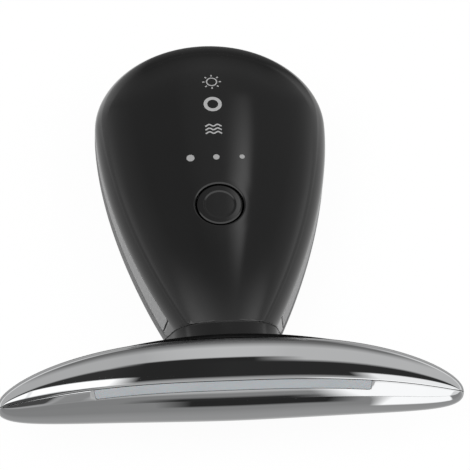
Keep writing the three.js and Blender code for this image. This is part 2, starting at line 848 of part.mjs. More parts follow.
function motor() {
  const can = axle(motorRadius, motorFrontY, motorBackY, 0, motorZ);
  const canBore = axle(0.9, motorFrontY - 1, motorFrontY + 4, 0, motorZ, 16);
  addPiece(device, 'motor_can', geometryOf(cutAll(solidOf(can), [canBore])), steel);
  const holder = box(14, 10, 12.9, 0, -5, 8.55);
  const holderBore = axle(motorRadius + gap, -20, 20, 0, motorZ);
  addPiece(device, 'motor_holder', geometryOf(cutAll(solidOf(holder), [holderBore])), rubber);
  const weightFrontY = motorFrontY - 1 - weightLength;
  addPiece(device, 'motor_shaft', axle(0.6, weightFrontY - 0.8, motorFrontY + 3.4, 0, motorZ, 12), steel);
  const disc = solidOf(axle(weightRadius, weightFrontY, weightFrontY + weightLength, 0, motorZ));
  const topHalf = box(12, 12, 10, 0, weightFrontY, motorZ + 5 + 1.6);
  const shaftHole = axle(0.9, weightFrontY - 1, motorFrontY, 0, motorZ, 12);
  addPiece(device, 'eccentric_weight', geometryOf(cutAll(disc, [topHalf, shaftHole])), brass);
  for (const [name, x, look] of [['motor_lead_plus', -2, wireRed], ['motor_lead_minus', 2, wireBlack]]) {
    const points = [
      [x, motorBackY + gap, motorZ + 2], [x, motorBackY + 1.6, motorZ + 3],
      [x, motorBackY + 1.8, motorZ + 7], [x, motorBackY + 1, boardZ - gap - 0.5],
    ];
    addPiece(device, name, wire(points, 0.45), look);
  }
}

function charging() {
  const [width, length, height] = socketSize;
  const faceY = tailY - 0.9;
  const middleY = faceY - length / 2;
  const low = socketZ - height / 2;
  const round = (w, h, from, to) => {
    const radius = h / 2;
    const shape = new THREE.Shape();
    shape.moveTo(-w / 2 + radius, -radius);
    shape.lineTo(w / 2 - radius, -radius);
    shape.absarc(w / 2 - radius, 0, radius, -Math.PI / 2, Math.PI / 2);
    shape.lineTo(-w / 2 + radius, radius);
    shape.absarc(-w / 2 + radius, 0, radius, Math.PI / 2, 1.5 * Math.PI);
    const options = { depth: to - from, bevelEnabled: false, curveSegments: 8 };
    return new THREE.ExtrudeGeometry(shape, options).rotateX(Math.PI / 2).translate(0, to, socketZ);
  };
  const shell = solidOf(round(width, height, faceY - length, faceY));
  const mouth = round(width - 0.6, height - 0.6, faceY - length + 0.8, faceY + 1);
  addPiece(device, 'charge_socket', geometryOf(cutAll(shell, [mouth])), steel);
  const tongue = box(6.6, length - 2.6, 0.7, 0, middleY + 0.2, socketZ);
  addPiece(device, 'socket_tongue', tongue, chipBlack);
  addPiece(device, 'charge_board', box(16, 12, 1, 0, 47.5, low - gap - 0.5), boardGreen);
  addPiece(device, 'charge_chip', box(3, 3, 0.9, 5, 44, low + 0.45), chipBlack);
}

// Bracket and cable through the neck

function neckBracket() {
  const backPoint = [-17.5, 16.6];
  const headPoint = [headCentreY + 2.6, headCentreZ - 1.6];
  const run = headPoint[0] - backPoint[0];
  const climb = headPoint[1] - backPoint[1];
  const length = Math.hypot(run, climb);
  const lift = [-climb / length, run / length].map((value) => value * -0.9);
  const bar = sideBlock([
    [backPoint[0] - lift[0], backPoint[1] - lift[1]],
    [backPoint[0] + lift[0], backPoint[1] + lift[1]],
    [headPoint[0] + lift[0], headPoint[1] + lift[1]],
    [headPoint[0] - lift[0], headPoint[1] - lift[1]],
  ].reverse(), 4.5);
  addPiece(device, 'neck_bracket', bar, steel);
}

function headCable() {
  const points = [
    [cableX, headCentreY - 1.9, headCentreZ - 0.4],
    [cableX, headCentreY + 2.6, headCentreZ - 6.2],
    [cableX, -38, 13.6],
    [cableX, -26, 14.6],
    [cableX, -15, 18.4],
    [cableX, -9.4, 21.2],
    [cableX, -5.2, 21.4],
  ];
  addPiece(device, 'head_cable', wire(points, 0.7, 18), wireBlack);
}

frontCover();
sideTrim();
rearCover();
neckSeal();
headShells();
lightWindow();
headBackCover();
headFrame();
lightBoard();
heatingFilm();
contactSpring('upper_contact', contactX, 1);
contactSpring('lower_contact', -contactX, -1);
headScrews();
buttonCap();
tactSwitch();
indicators();
mainBoard();
boardScrews();
caseScrews();
cell();
motor();
charging();
neckBracket();
headCable();

export default device;
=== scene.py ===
import math

import bpy
from mathutils import Matrix, Vector


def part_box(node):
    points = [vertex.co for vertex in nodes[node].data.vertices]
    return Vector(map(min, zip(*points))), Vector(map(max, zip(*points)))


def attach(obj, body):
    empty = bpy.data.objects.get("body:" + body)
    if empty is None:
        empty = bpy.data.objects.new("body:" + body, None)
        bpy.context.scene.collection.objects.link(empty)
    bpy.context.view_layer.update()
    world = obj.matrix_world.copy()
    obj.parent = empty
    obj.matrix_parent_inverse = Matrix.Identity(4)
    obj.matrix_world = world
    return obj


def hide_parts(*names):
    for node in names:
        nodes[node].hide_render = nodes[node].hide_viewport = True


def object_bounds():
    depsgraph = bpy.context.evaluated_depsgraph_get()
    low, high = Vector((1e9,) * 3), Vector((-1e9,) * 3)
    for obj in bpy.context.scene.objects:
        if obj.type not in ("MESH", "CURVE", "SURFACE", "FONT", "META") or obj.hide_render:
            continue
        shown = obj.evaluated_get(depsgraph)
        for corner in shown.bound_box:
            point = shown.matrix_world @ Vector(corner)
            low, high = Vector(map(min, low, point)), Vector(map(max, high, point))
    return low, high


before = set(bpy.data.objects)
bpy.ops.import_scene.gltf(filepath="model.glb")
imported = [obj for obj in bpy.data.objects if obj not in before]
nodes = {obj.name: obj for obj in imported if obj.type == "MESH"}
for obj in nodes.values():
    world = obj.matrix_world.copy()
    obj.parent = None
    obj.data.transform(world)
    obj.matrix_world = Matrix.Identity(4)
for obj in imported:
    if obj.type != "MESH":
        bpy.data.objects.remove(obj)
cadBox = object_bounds()
mm = 0.001
print("frame loaded:", len(nodes), "nodes")

# Camera first: the photo's angle, as a 470 x 470 picture
camera = {
    "target": Vector((3.65, -6.88, 23.0)) * mm,
    "distance": 700 * mm,
    "azimuth": math.radians(-6.97),
    "elevation": math.radians(53.89),
    "roll": math.radians(3.82),
    "focalPixels": 2791.6,
    "picturePixels": 470,
    "sensor": 36.0,
}


def makeCamera(c):
    across, up = c["azimuth"], c["elevation"]
    back = Vector((math.sin(across) * math.cos(up), -math.cos(across) * math.cos(up), math.sin(up)))
    level = Vector((math.cos(across), math.sin(across), 0))
    raised = back.cross(level)
    right = level * math.cos(c["roll"]) + raised * math.sin(c["roll"])
    top = raised * math.cos(c["roll"]) - level * math.sin(c["roll"])
    bpy.ops.object.camera_add(location=c["target"] + back * c["distance"])
    made = bpy.context.object
    made.name = "photoCamera"
    made.rotation_euler = Matrix((right, top, back)).transposed().to_euler()
    made.data.sensor_width = c["sensor"]
    made.data.lens = c["sensor"] * c["focalPixels"] / c["picturePixels"]
    made.data.clip_start = 0.01
    made.data.clip_end = 20
    bpy.context.scene.camera = made


makeCamera(camera)

# The form of the handle, from the frame and the sizes it was built with
coverLow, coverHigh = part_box("front_cover")
handle = {
    "halfWidth": coverHigh.x,
    "tailY": coverHigh.y,
    "wideY": 32.4 * mm,
    "neckRun": 50 * mm,
    "neckHalfWidth": 18.6 * mm,
    "neckCurve": 1.8,
    "edgeZ": 16 * mm,
    "crownZ": coverHigh.z,
    "crownDrop": 2.5 * mm,
    "domeSide": 2.6,
    "domeTop": 1.8,
    "wallFootZ": 10.8 * mm,
    "wallFootDrop": 3.2 * mm,
    "footCornerWide": 10 * mm,
    "footCornerNeck": 5 * mm,
    "footCornerPower": 2.1,
    "neckPlaneY": -23.8 * mm,
    "neckPlaneLean": 0.42,
    "trimEndY": -23.3 * mm,
    "trimEndLean": 0.25,
    "trimDepthWide": 1.9 * mm,
    "trimDepthGrowth": 5.1 * mm,
    "formEndY": -38 * mm,    # the form runs on to here, past the plane that ends the handle
    "farOut": 200 * mm,
    "seam": 0.15 * mm,
}
handle["tailLength"] = handle["tailY"] - handle["wideY"]


def neckShare(y):
    return max(0.0, (handle["wideY"] - y) / handle["neckRun"])


def planHalfWidth(y):
    loss = handle["halfWidth"] - handle["neckHalfWidth"]
    return handle["halfWidth"] - loss * neckShare(y) ** handle["neckCurve"]


def crownAt(y):
    return handle["crownZ"] - handle["crownDrop"] * neckShare(y) ** 2


def wallFootAt(y):
    return handle["wallFootZ"] - handle["wallFootDrop"] * neckShare(y)


def trimFootAt(y):
    return handle["edgeZ"] - handle["trimDepthWide"] - handle["trimDepthGrowth"] * neckShare(y)


def trimEndAt(z):
    return handle["trimEndY"] - handle["trimEndLean"] * z


def neckPlaneAt(z):
    return handle["neckPlaneY"] - handle["neckPlaneLean"] * z


trimNeckFoot = trimFootAt(trimEndAt(handle["edgeZ"] / 2))


# How far out a place is, from 0 on the middle line to 1 on the outline seen from above
def outwardShare(x, y):
    if y < handle["wideY"]:
        return abs(x) / planHalfWidth(y)
    return math.hypot(x / handle["halfWidth"], (y - handle["wideY"]) / handle["tailLength"])


def domeZ(x, y):
    share = min(1.0, outwardShare(x, y))
    rise = (1 - share ** handle["domeSide"]) ** (1 / handle["domeTop"])
    return handle["edgeZ"] + (crownAt(y) - handle["edgeZ"]) * rise


def floorZ(x, y):
    width = planHalfWidth(min(y, handle["wideY"]))
    wide, neck = handle["footCornerWide"], handle["footCornerNeck"]
    corner = wide + (neck - wide) * min(1.0, neckShare(y))
    across = max(0.0, (1 - outwardShare(x, y)) * width)
    if across >= corner:
        return 0.0
    foot = wallFootAt(y)
    power = handle["footCornerPower"]
    return foot - foot * (1 - ((corner - across) / corner) ** power) ** (1 / power)


def along(start, heading, distance):
    return start[0] + heading[0] * distance, start[1] + heading[1] * distance


# Distance from a place inside the outline to the outline, along a heading
def planReach(start, heading):
    near, far = 0.0, handle["farOut"]
    for step in range(60):
        middle = (near + far) / 2
        x, y = along(start, heading, middle)
        if y < handle["formEndY"] or outwardShare(x, y) > 1:
            far = middle
        else:
            near = middle
    return near


# Headings all round a place, each with its distance to the outline
def raysRound(start, count):
    rays = []
    for number in range(count):
        turn = 2 * math.pi * number / count
        heading = (math.cos(turn), math.sin(turn))
        rays.append((heading, planReach(start, heading)))
    return rays


# The form of the head, in its own frame: X along it, Y up its face, Z out of its face
head = {
    "halfLength": 56.8 * mm,
    "up": 10.02 * mm,
    "down": 10.25 * mm,
    "front": 9.4 * mm,
    "back": 5 * mm,
    "upPower": 0.455,
    "downPower": 0.42,
    "frontPower": 0.4,
    "turn": math.radians(36),
    "centreZ": 19.64 * mm,
    "seamRise": 1.5 * mm,
    "seamDroop": 1.15 * mm,
    "seamDroopPower": 2.8,
    "rim": 0.1 * mm,
    "rimRise": 0.75 * mm,
    "rimReach": 25 * mm,
    "rimPower": 1.3,
    "gap": 0.07 * mm,
    "tip": 0.02 * mm,    # where the head is lower than this, its skin closes in one point
}
strip = {
    "halfLength": 33.3 * mm, "height": 2.25 * mm, "corner": 0.8 * mm, "gap": 0.06 * mm, "topGap": 0.02 * mm,
    "inset": 0.04 * mm, "depth": 2.4 * mm, "slant": 0.3 * mm, "edge": 0.08 * mm, "columns": 60,
}
headReach = math.hypot(head["down"] * math.cos(head["turn"]), head["front"] * math.sin(head["turn"]))
headCentreY = cadBox[0].y + headReach - head["seamRise"] * math.cos(head["turn"])
headPlace = Matrix.Translation((0, headCentreY, head["centreZ"])) @ Matrix.Rotation(head["turn"], 4, "X")


def headShare(x, half):
    return max(0.0, 1 - (x / half) ** 2)


def seamAt(x):
    return head["seamRise"] - head["seamDroop"] * (abs(x) / strip["halfLength"]) ** head["seamDroopPower"]


# A point of the head's skin at x: angle 0 is its front, 90 its top, 180 its back, 270 its underside
def headPoint(x, angle, inset=0.0, rim=0.0):
    half = head["halfLength"] - inset + rim / 2
    share = headShare(x, half)
    lift = 0.0
    if rim:
        lift = head["rimRise"] * max(0.0, 1 - (x / head["rimReach"]) ** 2) ** head["rimPower"]
    up = (head["up"] - inset + rim + lift) * share ** head["upPower"]
    down = (head["down"] - inset) * share ** head["downPower"]
    front = (head["front"] - inset) * share ** head["frontPower"]
    back = (head["back"] - inset) * share ** head["frontPower"]
    rise, out = math.sin(angle), math.cos(angle)
    y = rise * (up if rise > 0 else down)
    z = out * (front if out > 0 else back)
    return Vector((x, seamAt(x) + y, z))


# Modelling steps

def selectNothing():
    if bpy.context.object and bpy.context.object.mode != "OBJECT":
        bpy.ops.object.mode_set(mode="OBJECT")
    bpy.ops.object.select_all(action="DESELECT")


# Adds a primitive by its operator and names it
def start(name, operator, **settings):
    selectNothing()
    operator(**settings)
    piece = bpy.context.object
    piece.name = name
    piece.data.name = name
    return piece


def workOn(piece):
    selectNothing()
    piece.select_set(True)
    bpy.context.view_layer.objects.active = piece


def editAll(piece, mode="VERT"):
    workOn(piece)
    bpy.ops.object.mode_set(mode="EDIT")
    bpy.ops.mesh.select_mode(type=mode)
    bpy.ops.mesh.select_all(action="SELECT")


def leaveEdit():
    bpy.ops.object.mode_set(mode="OBJECT")


def mergeClose(piece):
    editAll(piece)
    bpy.ops.mesh.remove_doubles(threshold=0.002 * mm)
    leaveEdit()


# A grid whose points are laid on a form by place(column, row)
def sheet(name, columns, rows, place):
    piece = start(name, bpy.ops.mesh.primitive_grid_add, x_subdivisions=columns, y_subdivisions=rows, size=1)
    for point in piece.data.vertices:
        column = round((point.co.x + 0.5) * columns)
        row = round((point.co.y + 0.5) * rows)
        point.co = place(column, row)
    mergeClose(piece)
    return piece


# A closed wall: the outer skin's rows, then the inner skin's rows on the way back
def walled(name, stations, rows, skin):
    whole = 2 * rows + 2

    def place(column, row):
        if row > rows and row < whole:
            return skin(stations[column], (whole - 1 - row) / rows, True)
        return skin(stations[column], row % whole / rows, False)

    piece = sheet(name, len(stations) - 1, whole, place)
    closeHoles(piece)
    return piece


# Fills open loops and points all faces outwards
def closeHoles(piece):
    editAll(piece)
    bpy.ops.mesh.dissolve_degenerate(threshold=0.001 * mm)
    bpy.ops.mesh.select_all(action="DESELECT")
    bpy.ops.mesh.select_non_manifold()
    bpy.ops.mesh.edge_face_add()
    bpy.ops.mesh.select_all(action="SELECT")
    bpy.ops.mesh.normals_make_consistent(inside=False)
    leaveEdit()


# Turns a sheet's faces away from a place inside the object
def faceAwayFrom(piece, inside):
    outward = sum(face.normal.dot((face.center - inside).normalized()) * face.area for face in piece.data.polygons)
    if outward < 0:
        editAll(piece, "FACE")
        bpy.ops.mesh.flip_normals()
        leaveEdit()


# Cuts a mesh along planes, then deletes the faces whose middle keep() turns down
def trimTo(piece, planes, keep):
    for place, normal in planes:
        editAll(piece)
        bpy.ops.mesh.bisect(plane_co=place, plane_no=normal)
        leaveEdit()
    editAll(piece, "FACE")
    bpy.ops.mesh.select_all(action="DESELECT")
    leaveEdit()
    for face in piece.data.polygons:
        face.select = not keep(face.center)
    bpy.ops.object.mode_set(mode="EDIT")
    bpy.ops.mesh.delete(type="FACE")
    bpy.ops.mesh.select_all(action="SELECT")
    bpy.ops.mesh.remove_doubles(threshold=0.06 * mm)    # drops the slivers that the planes leave
    leaveEdit()


def applyModifier(piece, kind, **settings):
    workOn(piece)
    made = piece.modifiers.new(kind.title(), kind)
    for name, value in settings.items():
        setattr(made, name, value)
    bpy.ops.object.modifier_apply(modifier=made.name)


def thicken(piece, depth):
    applyModifier(piece, "SOLIDIFY", thickness=depth, offset=-1, use_even_offset=True, use_quality_normals=True)


def roundEdges(piece, width, angle=50):
    applyModifier(piece, "BEVEL", width=width, segments=2, limit_method="ANGLE", angle_limit=math.radians(angle),
                  use_clamp_overlap=False, harden_normals=False)


def smooth(piece, angle=38):
    workOn(piece)
    bpy.ops.object.shade_smooth_by_angle(angle=math.radians(angle))


past = 1 * mm    # how far a cutter goes past what it cuts


def cutBy(piece, cutter, operation="DIFFERENCE"):
    applyModifier(piece, "BOOLEAN", object=cutter, operation=operation, solver="EXACT")
    bpy.data.objects.remove(cutter, do_unlink=True)


def joinInto(piece, others):
    workOn(piece)
    for other in others:
        other.select_set(True)
    bpy.ops.object.join()
    return bpy.context.object


# A round piece about Z: a circle drawn out ring by ring through a profile of (radius, height)
def turned(name, profile, centre, sides):
    rings = [(max(radius, 0.001 * mm), height) for radius, height in profile]
    radius, height = rings[0]
    place = (centre[0], centre[1], height)
    piece = start(name, bpy.ops.mesh.primitive_circle_add, vertices=sides, radius=radius, location=place)
    bpy.ops.object.mode_set(mode="EDIT")
    bpy.ops.mesh.select_all(action="SELECT")
    for nextRadius, nextHeight in rings[1:]:
        size = nextRadius / radius
        bpy.ops.mesh.extrude_edges_move(TRANSFORM_OT_translate={"value": (0, 0, nextHeight - height)})
        bpy.ops.transform.resize(value=(size, size, 1), center_override=(centre[0], centre[1], nextHeight))
        radius, height = nextRadius, nextHeight
    bpy.ops.mesh.select_all(action="SELECT")
    bpy.ops.mesh.remove_doubles(threshold=0.005 * mm)    # closes the poles
    bpy.ops.mesh.normals_make_consistent(inside=False)
    leaveEdit()
    placeInMesh(piece)
    return piece


# Moves an object's place into its mesh, as a CAD node has it
def placeInMesh(piece):
    workOn(piece)
    bpy.ops.object.transform_apply(location=True, rotation=True, scale=True)


# Points of an arc in a profile, its angles in degrees
def arc(centre, radius, fromAngle, toAngle, steps):
    points = []
    for step in range(steps + 1):
        angle = math.radians(fromAngle + (toAngle - fromAngle) * step / steps)
        points.append((centre[0] + radius * math.cos(angle), centre[1] + radius * math.sin(angle)))
    return points


# Drops a flat or turned piece onto the cover: its heights are read as distances from the cover's surface
def layOnCover(piece):
    for point in piece.data.vertices:
        point.co.z += domeZ(point.co.x, point.co.y)


# Shader maths: a socket whose operators add Math nodes

class Wire:
    def __init__(self, look, socket):
        self.look = look
        self.socket = socket

    def maths(self, operation, *others):
        return self.look.add("ShaderNodeMath", {"operation": operation}, dict(enumerate((self,) + others)))

    def __add__(self, other):
        return self.maths("ADD", other)

    def __sub__(self, other):
        return self.maths("SUBTRACT", other)

    def __rsub__(self, other):
        return self.look.add("ShaderNodeMath", {"operation": "SUBTRACT"}, {0: other, 1: self})

    def __mul__(self, other):
        return self.maths("MULTIPLY", other)

    __radd__ = __add__
    __rmul__ = __mul__


socketNames = {
    "colour": "Base Color", "roughness": "Roughness", "metallic": "Metallic", "ior": "IOR", "normal": "Normal",
    "coat": "Coat Weight", "coatRoughness": "Coat Roughness",
    "subsurface": "Subsurface Weight", "subsurfaceScale": "Subsurface Scale",
}


class Look:
    def __init__(self, name, tree=None):
        self.tree = tree
        if tree:
            return
        self.material = bpy.data.materials.new(name)
        self.material.use_nodes = True
        self.tree = self.material.node_tree
        self.shader = self.tree.nodes["Principled BSDF"]
        self.place = self.add("ShaderNodeTexCoord", {}, {}, "Object")

    # Adds a node: its settings first, then the values or wires of its sockets
    def add(self, kind, settings, values, output=0):
        node = self.tree.nodes.new(kind)
        for name, value in settings.items():
            setattr(node, name, value)
        for name, value in values.items():
            self.feed(node.inputs[name], value)
        return Wire(self, node.outputs[output])

    def feed(self, socket, value):
        if isinstance(value, Wire):
            self.tree.links.new(value.socket, socket)
        else:
            socket.default_value = value

    def set(self, **values):
        for name, value in values.items():
            self.feed(self.shader.inputs[socketNames[name]], value)

    # Wires of the place's X, Y and Z
    def axes(self):
        first = self.add("ShaderNodeSeparateXYZ", {}, {0: self.place})
        return [Wire(self, socket) for socket in first.socket.node.outputs]

    def noise(self, scale, detail, roughness=0.5, squeeze=None):
        place = self.place
        if squeeze:
            place = self.add("ShaderNodeMapping", {}, {"Vector": self.place, "Scale": squeeze})
        values = {"Vector": place, "Scale": scale, "Detail": detail, "Roughness": roughness}
        return self.add("ShaderNodeTexNoise", {}, values, "Fac")

    def spread(self, wire, low, high, toLow=0.0, toHigh=1.0):
        values = {"Value": wire, "From Min": low, "From Max": high, "To Min": toLow, "To Max": toHigh}
        return self.add("ShaderNodeMapRange", {}, values)

    def blend(self, share, first, second):
        return self.add("ShaderNodeMix", {"data_type": "RGBA"}, {0: share, 6: first, 7: second}, 2)

    def bump(self, height, strength, distance):
        values = {"Height": height, "Strength": strength, "Distance": distance}
        self.set(normal=self.add("ShaderNodeBump", {}, values))

    # Feeds the material's surface from a wire
    def surface(self, wire):
        self.feed(self.tree.nodes["Material Output"].inputs["Surface"], wire)


def grey(value, tint=0.0):
    return (value * (1 - tint), value, value * (1 + tint), 1)


# Finishes: a cloud of two tones and a fine grain that dents the surface. The roughness follows the grain, or
# the cloud on smooth coats. Noises are written as scale, detail, roughness and squeeze.

def coat(name, tones, sheen, cloud=(120, 3), grain=(2200, 3), relief=(0.2, 0.00004), even=False, flakes=None,
         **fixed):
    look = Look(name)
    clouds = look.noise(*cloud)
    grains = look.noise(*grain)
    colour = look.blend(clouds, *tones)
    if flakes:
        share = look.spread(look.noise(*flakes["noise"]), *flakes["limits"])
        colour = look.blend(share, colour, flakes["tone"])
    look.set(colour=colour, roughness=look.spread(clouds if even else grains, 0.3, 0.7, *sheen), **fixed)
    look.bump(grains, *relief)
    return look.material


coats = {
    "glossBlack": {
        "tones": (grey(0.0013), grey(0.0024, 0.02)), "sheen": (0.11, 0.14), "cloud": (60, 4), "grain": (900, 2),
        "relief": (0.02, 0.00002), "even": True, "ior": 1.35,
    },
    "neckBlack": {
        "tones": (grey(0.003), grey(0.005)), "sheen": (0.14, 0.2), "cloud": (80, 4), "grain": (1400, 3),
        "relief": (0.04, 0.00002), "even": True, "ior": 1.36,
    },
    "silverTrim": {
        "tones": (grey(0.42), grey(0.47, 0.01)), "sheen": (0.3, 0.38), "cloud": (70, 3), "grain": (5200, 1),
        "relief": (0.05, 0.00002), "even": True, "metallic": 0.75, "coat": 0.2, "coatRoughness": 0.12,
        "flakes": {"noise": (5200, 1), "limits": (0.42, 0.62), "tone": grey(0.55)},
    },
    "silverCase": {
        "tones": (grey(0.17), grey(0.21, 0.01)), "sheen": (0.36, 0.46), "cloud": (45, 4), "grain": (3000, 3),
        "relief": (0.08, 0.00003), "even": True, "metallic": 0.6,
        "flakes": {"noise": (4800, 1), "limits": (0.4, 0.65), "tone": grey(0.28)},
    },
    "platedShell": {
        "tones": (grey(0.6, 0.012), grey(0.66, 0.008)), "sheen": (0.02, 0.045), "cloud": (40, 3),
        "grain": (55, 1, 0.3), "relief": (0.06, 0.0002), "even": True, "metallic": 1.0,
    },
    "milkyWindow": {
        "tones": ((0.315, 0.335, 0.352, 1), (0.365, 0.382, 0.396, 1)), "sheen": (0.3, 0.42), "cloud": (90, 3),
        "grain": (3500, 2), "relief": (0.05, 0.00002), "subsurface": 0.15, "subsurfaceScale": 0.002,
    },
    "milkyDot": {
        "tones": (grey(0.27), grey(0.33)), "sheen": (0.35, 0.5), "cloud": (2500, 2), "grain": (2500, 2),
        "relief": (0.1, 0.00002),
    },
    "printedInk": {
        "tones": (grey(0.31), grey(0.38)), "sheen": (0.4, 0.6), "cloud": (4200, 3), "grain": (4200, 3),
        "relief": (0.15, 0.00001),
    },
    "darkPlastic": {"tones": (grey(0.014), grey(0.022)), "sheen": (0.5, 0.65)},
    "softRubber": {"tones": (grey(0.018), grey(0.028)), "sheen": (0.75, 0.9), "grain": (1500, 3)},
    "padFoam": {"tones": (grey(0.035), grey(0.05)), "sheen": (0.9, 1.0), "grain": (900, 3)},
    "mouldedChip": {"tones": (grey(0.008), grey(0.013)), "sheen": (0.4, 0.6), "grain": (3000, 3)},
    "clearResin": {"tones": ((0.75, 0.66, 0.34, 1), (0.9, 0.83, 0.5, 1)), "sheen": (0.15, 0.3)},
    "amberFilm": {
        "tones": ((0.42, 0.14, 0.022, 1), (0.5, 0.18, 0.03, 1)), "sheen": (0.25, 0.4), "grain": (800, 3),
    },
    "redWire": {"tones": ((0.34, 0.018, 0.012, 1), (0.42, 0.026, 0.016, 1)), "sheen": (0.4, 0.55)},
    "blackWire": {"tones": (grey(0.01), grey(0.015)), "sheen": (0.4, 0.55)},
}
metals = {
    "zincSteel": {"tones": (grey(0.42), grey(0.55, 0.02)), "sheen": (0.22, 0.36)},
    "rolledBrass": {"tones": ((0.42, 0.26, 0.06, 1), (0.52, 0.33, 0.09, 1)), "sheen": (0.22, 0.38)},
    "pouchFoil": {
        "tones": (grey(0.42, 0.02), grey(0.55, 0.03)), "sheen": (0.3, 0.5), "grain": (700, 3, 0.6, (8, 1, 1)),
    },
}
streaks = {"cloud": (150, 2), "grain": (700, 3, 0.6, (1, 1, 12)), "relief": (0.1, 0.00002), "metallic": 1.0}


def circuitBoard():
    look = Look("circuitBoard")
    cells = look.add("ShaderNodeTexVoronoi", {"feature": "DISTANCE_TO_EDGE"}, {"Vector": look.place, "Scale": 420})
    track = look.spread(cells, 0.03, 0.06)
    cloud = look.noise(200, 2)
    mask = look.blend(cloud, (0.011, 0.09, 0.035, 1), (0.016, 0.12, 0.05, 1))
    look.set(colour=look.blend(track, (0.03, 0.2, 0.09, 1), mask), roughness=look.spread(cloud, 0.3, 0.7, 0.3, 0.45))
    look.bump(track, 0.3, 0.00003)
    return look.material


finishes = {name: coat(name, **row) for name, row in coats.items()}
finishes.update((name, coat(name, **{**streaks, **row})) for name, row in metals.items())
finishes["circuitBoard"] = circuitBoard()
print("finishes made:", len(finishes))


def finish(piece, name):
    piece.data.materials.clear()
    piece.data.materials.append(finishes[name])


# Front cover

cover = {
    "rays": 288, "rows": 56, "wallRows": 8, "evenness": 1.45, "wall": 2 * mm,
    "buttonY": -1.3 * mm, "holeRadius": 6.1 * mm, "holeFillet": 0.45 * mm, "holeDepth": 2.4 * mm,
    "holeSteps": (0.1 * mm, 0.3 * mm, 0.7 * mm, 1.2 * mm), "edge": 0.25 * mm,
}
insideHandle = Vector((0, 10, 15)) * mm


def frontCover():
    c = cover
    centre = (0, c["buttonY"])
    fillet = arc((c["holeRadius"] + c["holeFillet"], -c["holeFillet"]), c["holeFillet"], 180, 90, 5)
    throat = [(c["holeRadius"], -c["holeDepth"])] + fillet
    throat += [(fillet[-1][0] + step, 0.0) for step in c["holeSteps"]]
    rays = raysRound(centre, c["rays"])
    first = throat[-1][0]
    edgeZ = handle["edgeZ"] + handle["seam"]
    lowZ = trimNeckFoot - 0.5 * mm

    def place(column, row):
        heading, reach = rays[column % c["rays"]]
        if row < len(throat):
            distance, drop = throat[row]
            x, y = along(centre, heading, distance)
            return Vector((x, y, domeZ(x, y) + drop))
        row -= len(throat) - 1
        if row <= c["rows"]:
            angle = math.pi / 2 * (1 - row / c["rows"]) ** c["evenness"]
            share = max(0.0, math.cos(angle)) ** (2 / handle["domeSide"])
            x, y = along(centre, heading, first + (reach - first) * share)
            return Vector((x, y, max(edgeZ, domeZ(x, y))))
        x, y = along(centre, heading, reach)
        fall = (row - c["rows"]) / c["wallRows"]
        top = max(edgeZ, domeZ(x, y))
        return Vector((x, y, top + (lowZ - top) * fall))

    piece = sheet("frontCover", c["rays"], len(throat) - 1 + c["rows"] + c["wallRows"], place)
    foot = trimNeckFoot + handle["seam"]
    below = edgeZ - 0.001 * mm    # the cut runs just under the edge
    endY = handle["trimEndY"] - 0.3 * mm
    planes = [
        ((0, handle["neckPlaneY"], 0), (0, 1, handle["neckPlaneLean"])),
        ((0, endY, 0), (0, 1, handle["trimEndLean"])),
        ((0, 0, foot), (0, 0, 1)),
        ((0, 0, below), (0, 0, 1)),
    ]

    def keep(middle):
        if middle.y < neckPlaneAt(middle.z) or middle.z < foot:
            return False
        return middle.z > below or middle.y < endY - handle["trimEndLean"] * middle.z

    trimTo(piece, planes, keep)
    faceAwayFrom(piece, insideHandle)
    thicken(piece, c["wall"])
    roundEdges(piece, c["edge"])
    smooth(piece)
    finish(piece, "glossBlack")
    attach(piece, "root")
    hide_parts("front_cover")


# Side trim

trim = {
    "wall": 1.6 * mm, "edge": 0.18 * mm, "endRound": 0.9 * mm,
    "sideColumns": 110, "tailColumns": 90, "rows": 6, "evenness": 1.6,
}


def sideTrim():
    c = trim
    top = handle["edgeZ"] - handle["seam"]
    columns = 2 * c["sideColumns"] + c["tailColumns"]

    def lowAt(y):
        return trimFootAt(y) + handle["seam"]

    def place(column, row):
        side = 1
        if column > columns / 2:
            column, side = columns - column, -1
        rise = row / c["rows"]
        if column > c["sideColumns"]:
            angle = math.pi * (column - c["sideColumns"]) / c["tailColumns"]
            z = lowAt(handle["wideY"]) + (top - lowAt(handle["wideY"])) * rise
            x = handle["halfWidth"] * math.cos(angle)
            return Vector((side * x, handle["wideY"] + handle["tailLength"] * math.sin(angle), z))
        share = (column / c["sideColumns"]) ** c["evenness"]
        z = top
        for step in range(8):    # the trim's end leans, so y and z settle together
            y = trimEndAt(z) + (handle["wideY"] - trimEndAt(z)) * share
            inward = share * (handle["wideY"] - handle["trimEndY"])
            cut = 0.0
            if inward < c["endRound"]:
                cut = c["endRound"] - math.sqrt(c["endRound"] ** 2 - (c["endRound"] - inward) ** 2)
            low, high = lowAt(y) + cut * 0.5, top - cut
            z = low + (high - low) * rise
        return Vector((side * planHalfWidth(y), y, z))

    piece = sheet("sideTrim", columns, c["rows"], place)
    faceAwayFrom(piece, insideHandle)
    thicken(piece, c["wall"])
    roundEdges(piece, c["edge"])
    smooth(piece)
    finish(piece, "silverTrim")
    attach(piece, "root")
    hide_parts("side_trim")


# Screws: one of each length is modelled and placed by copies

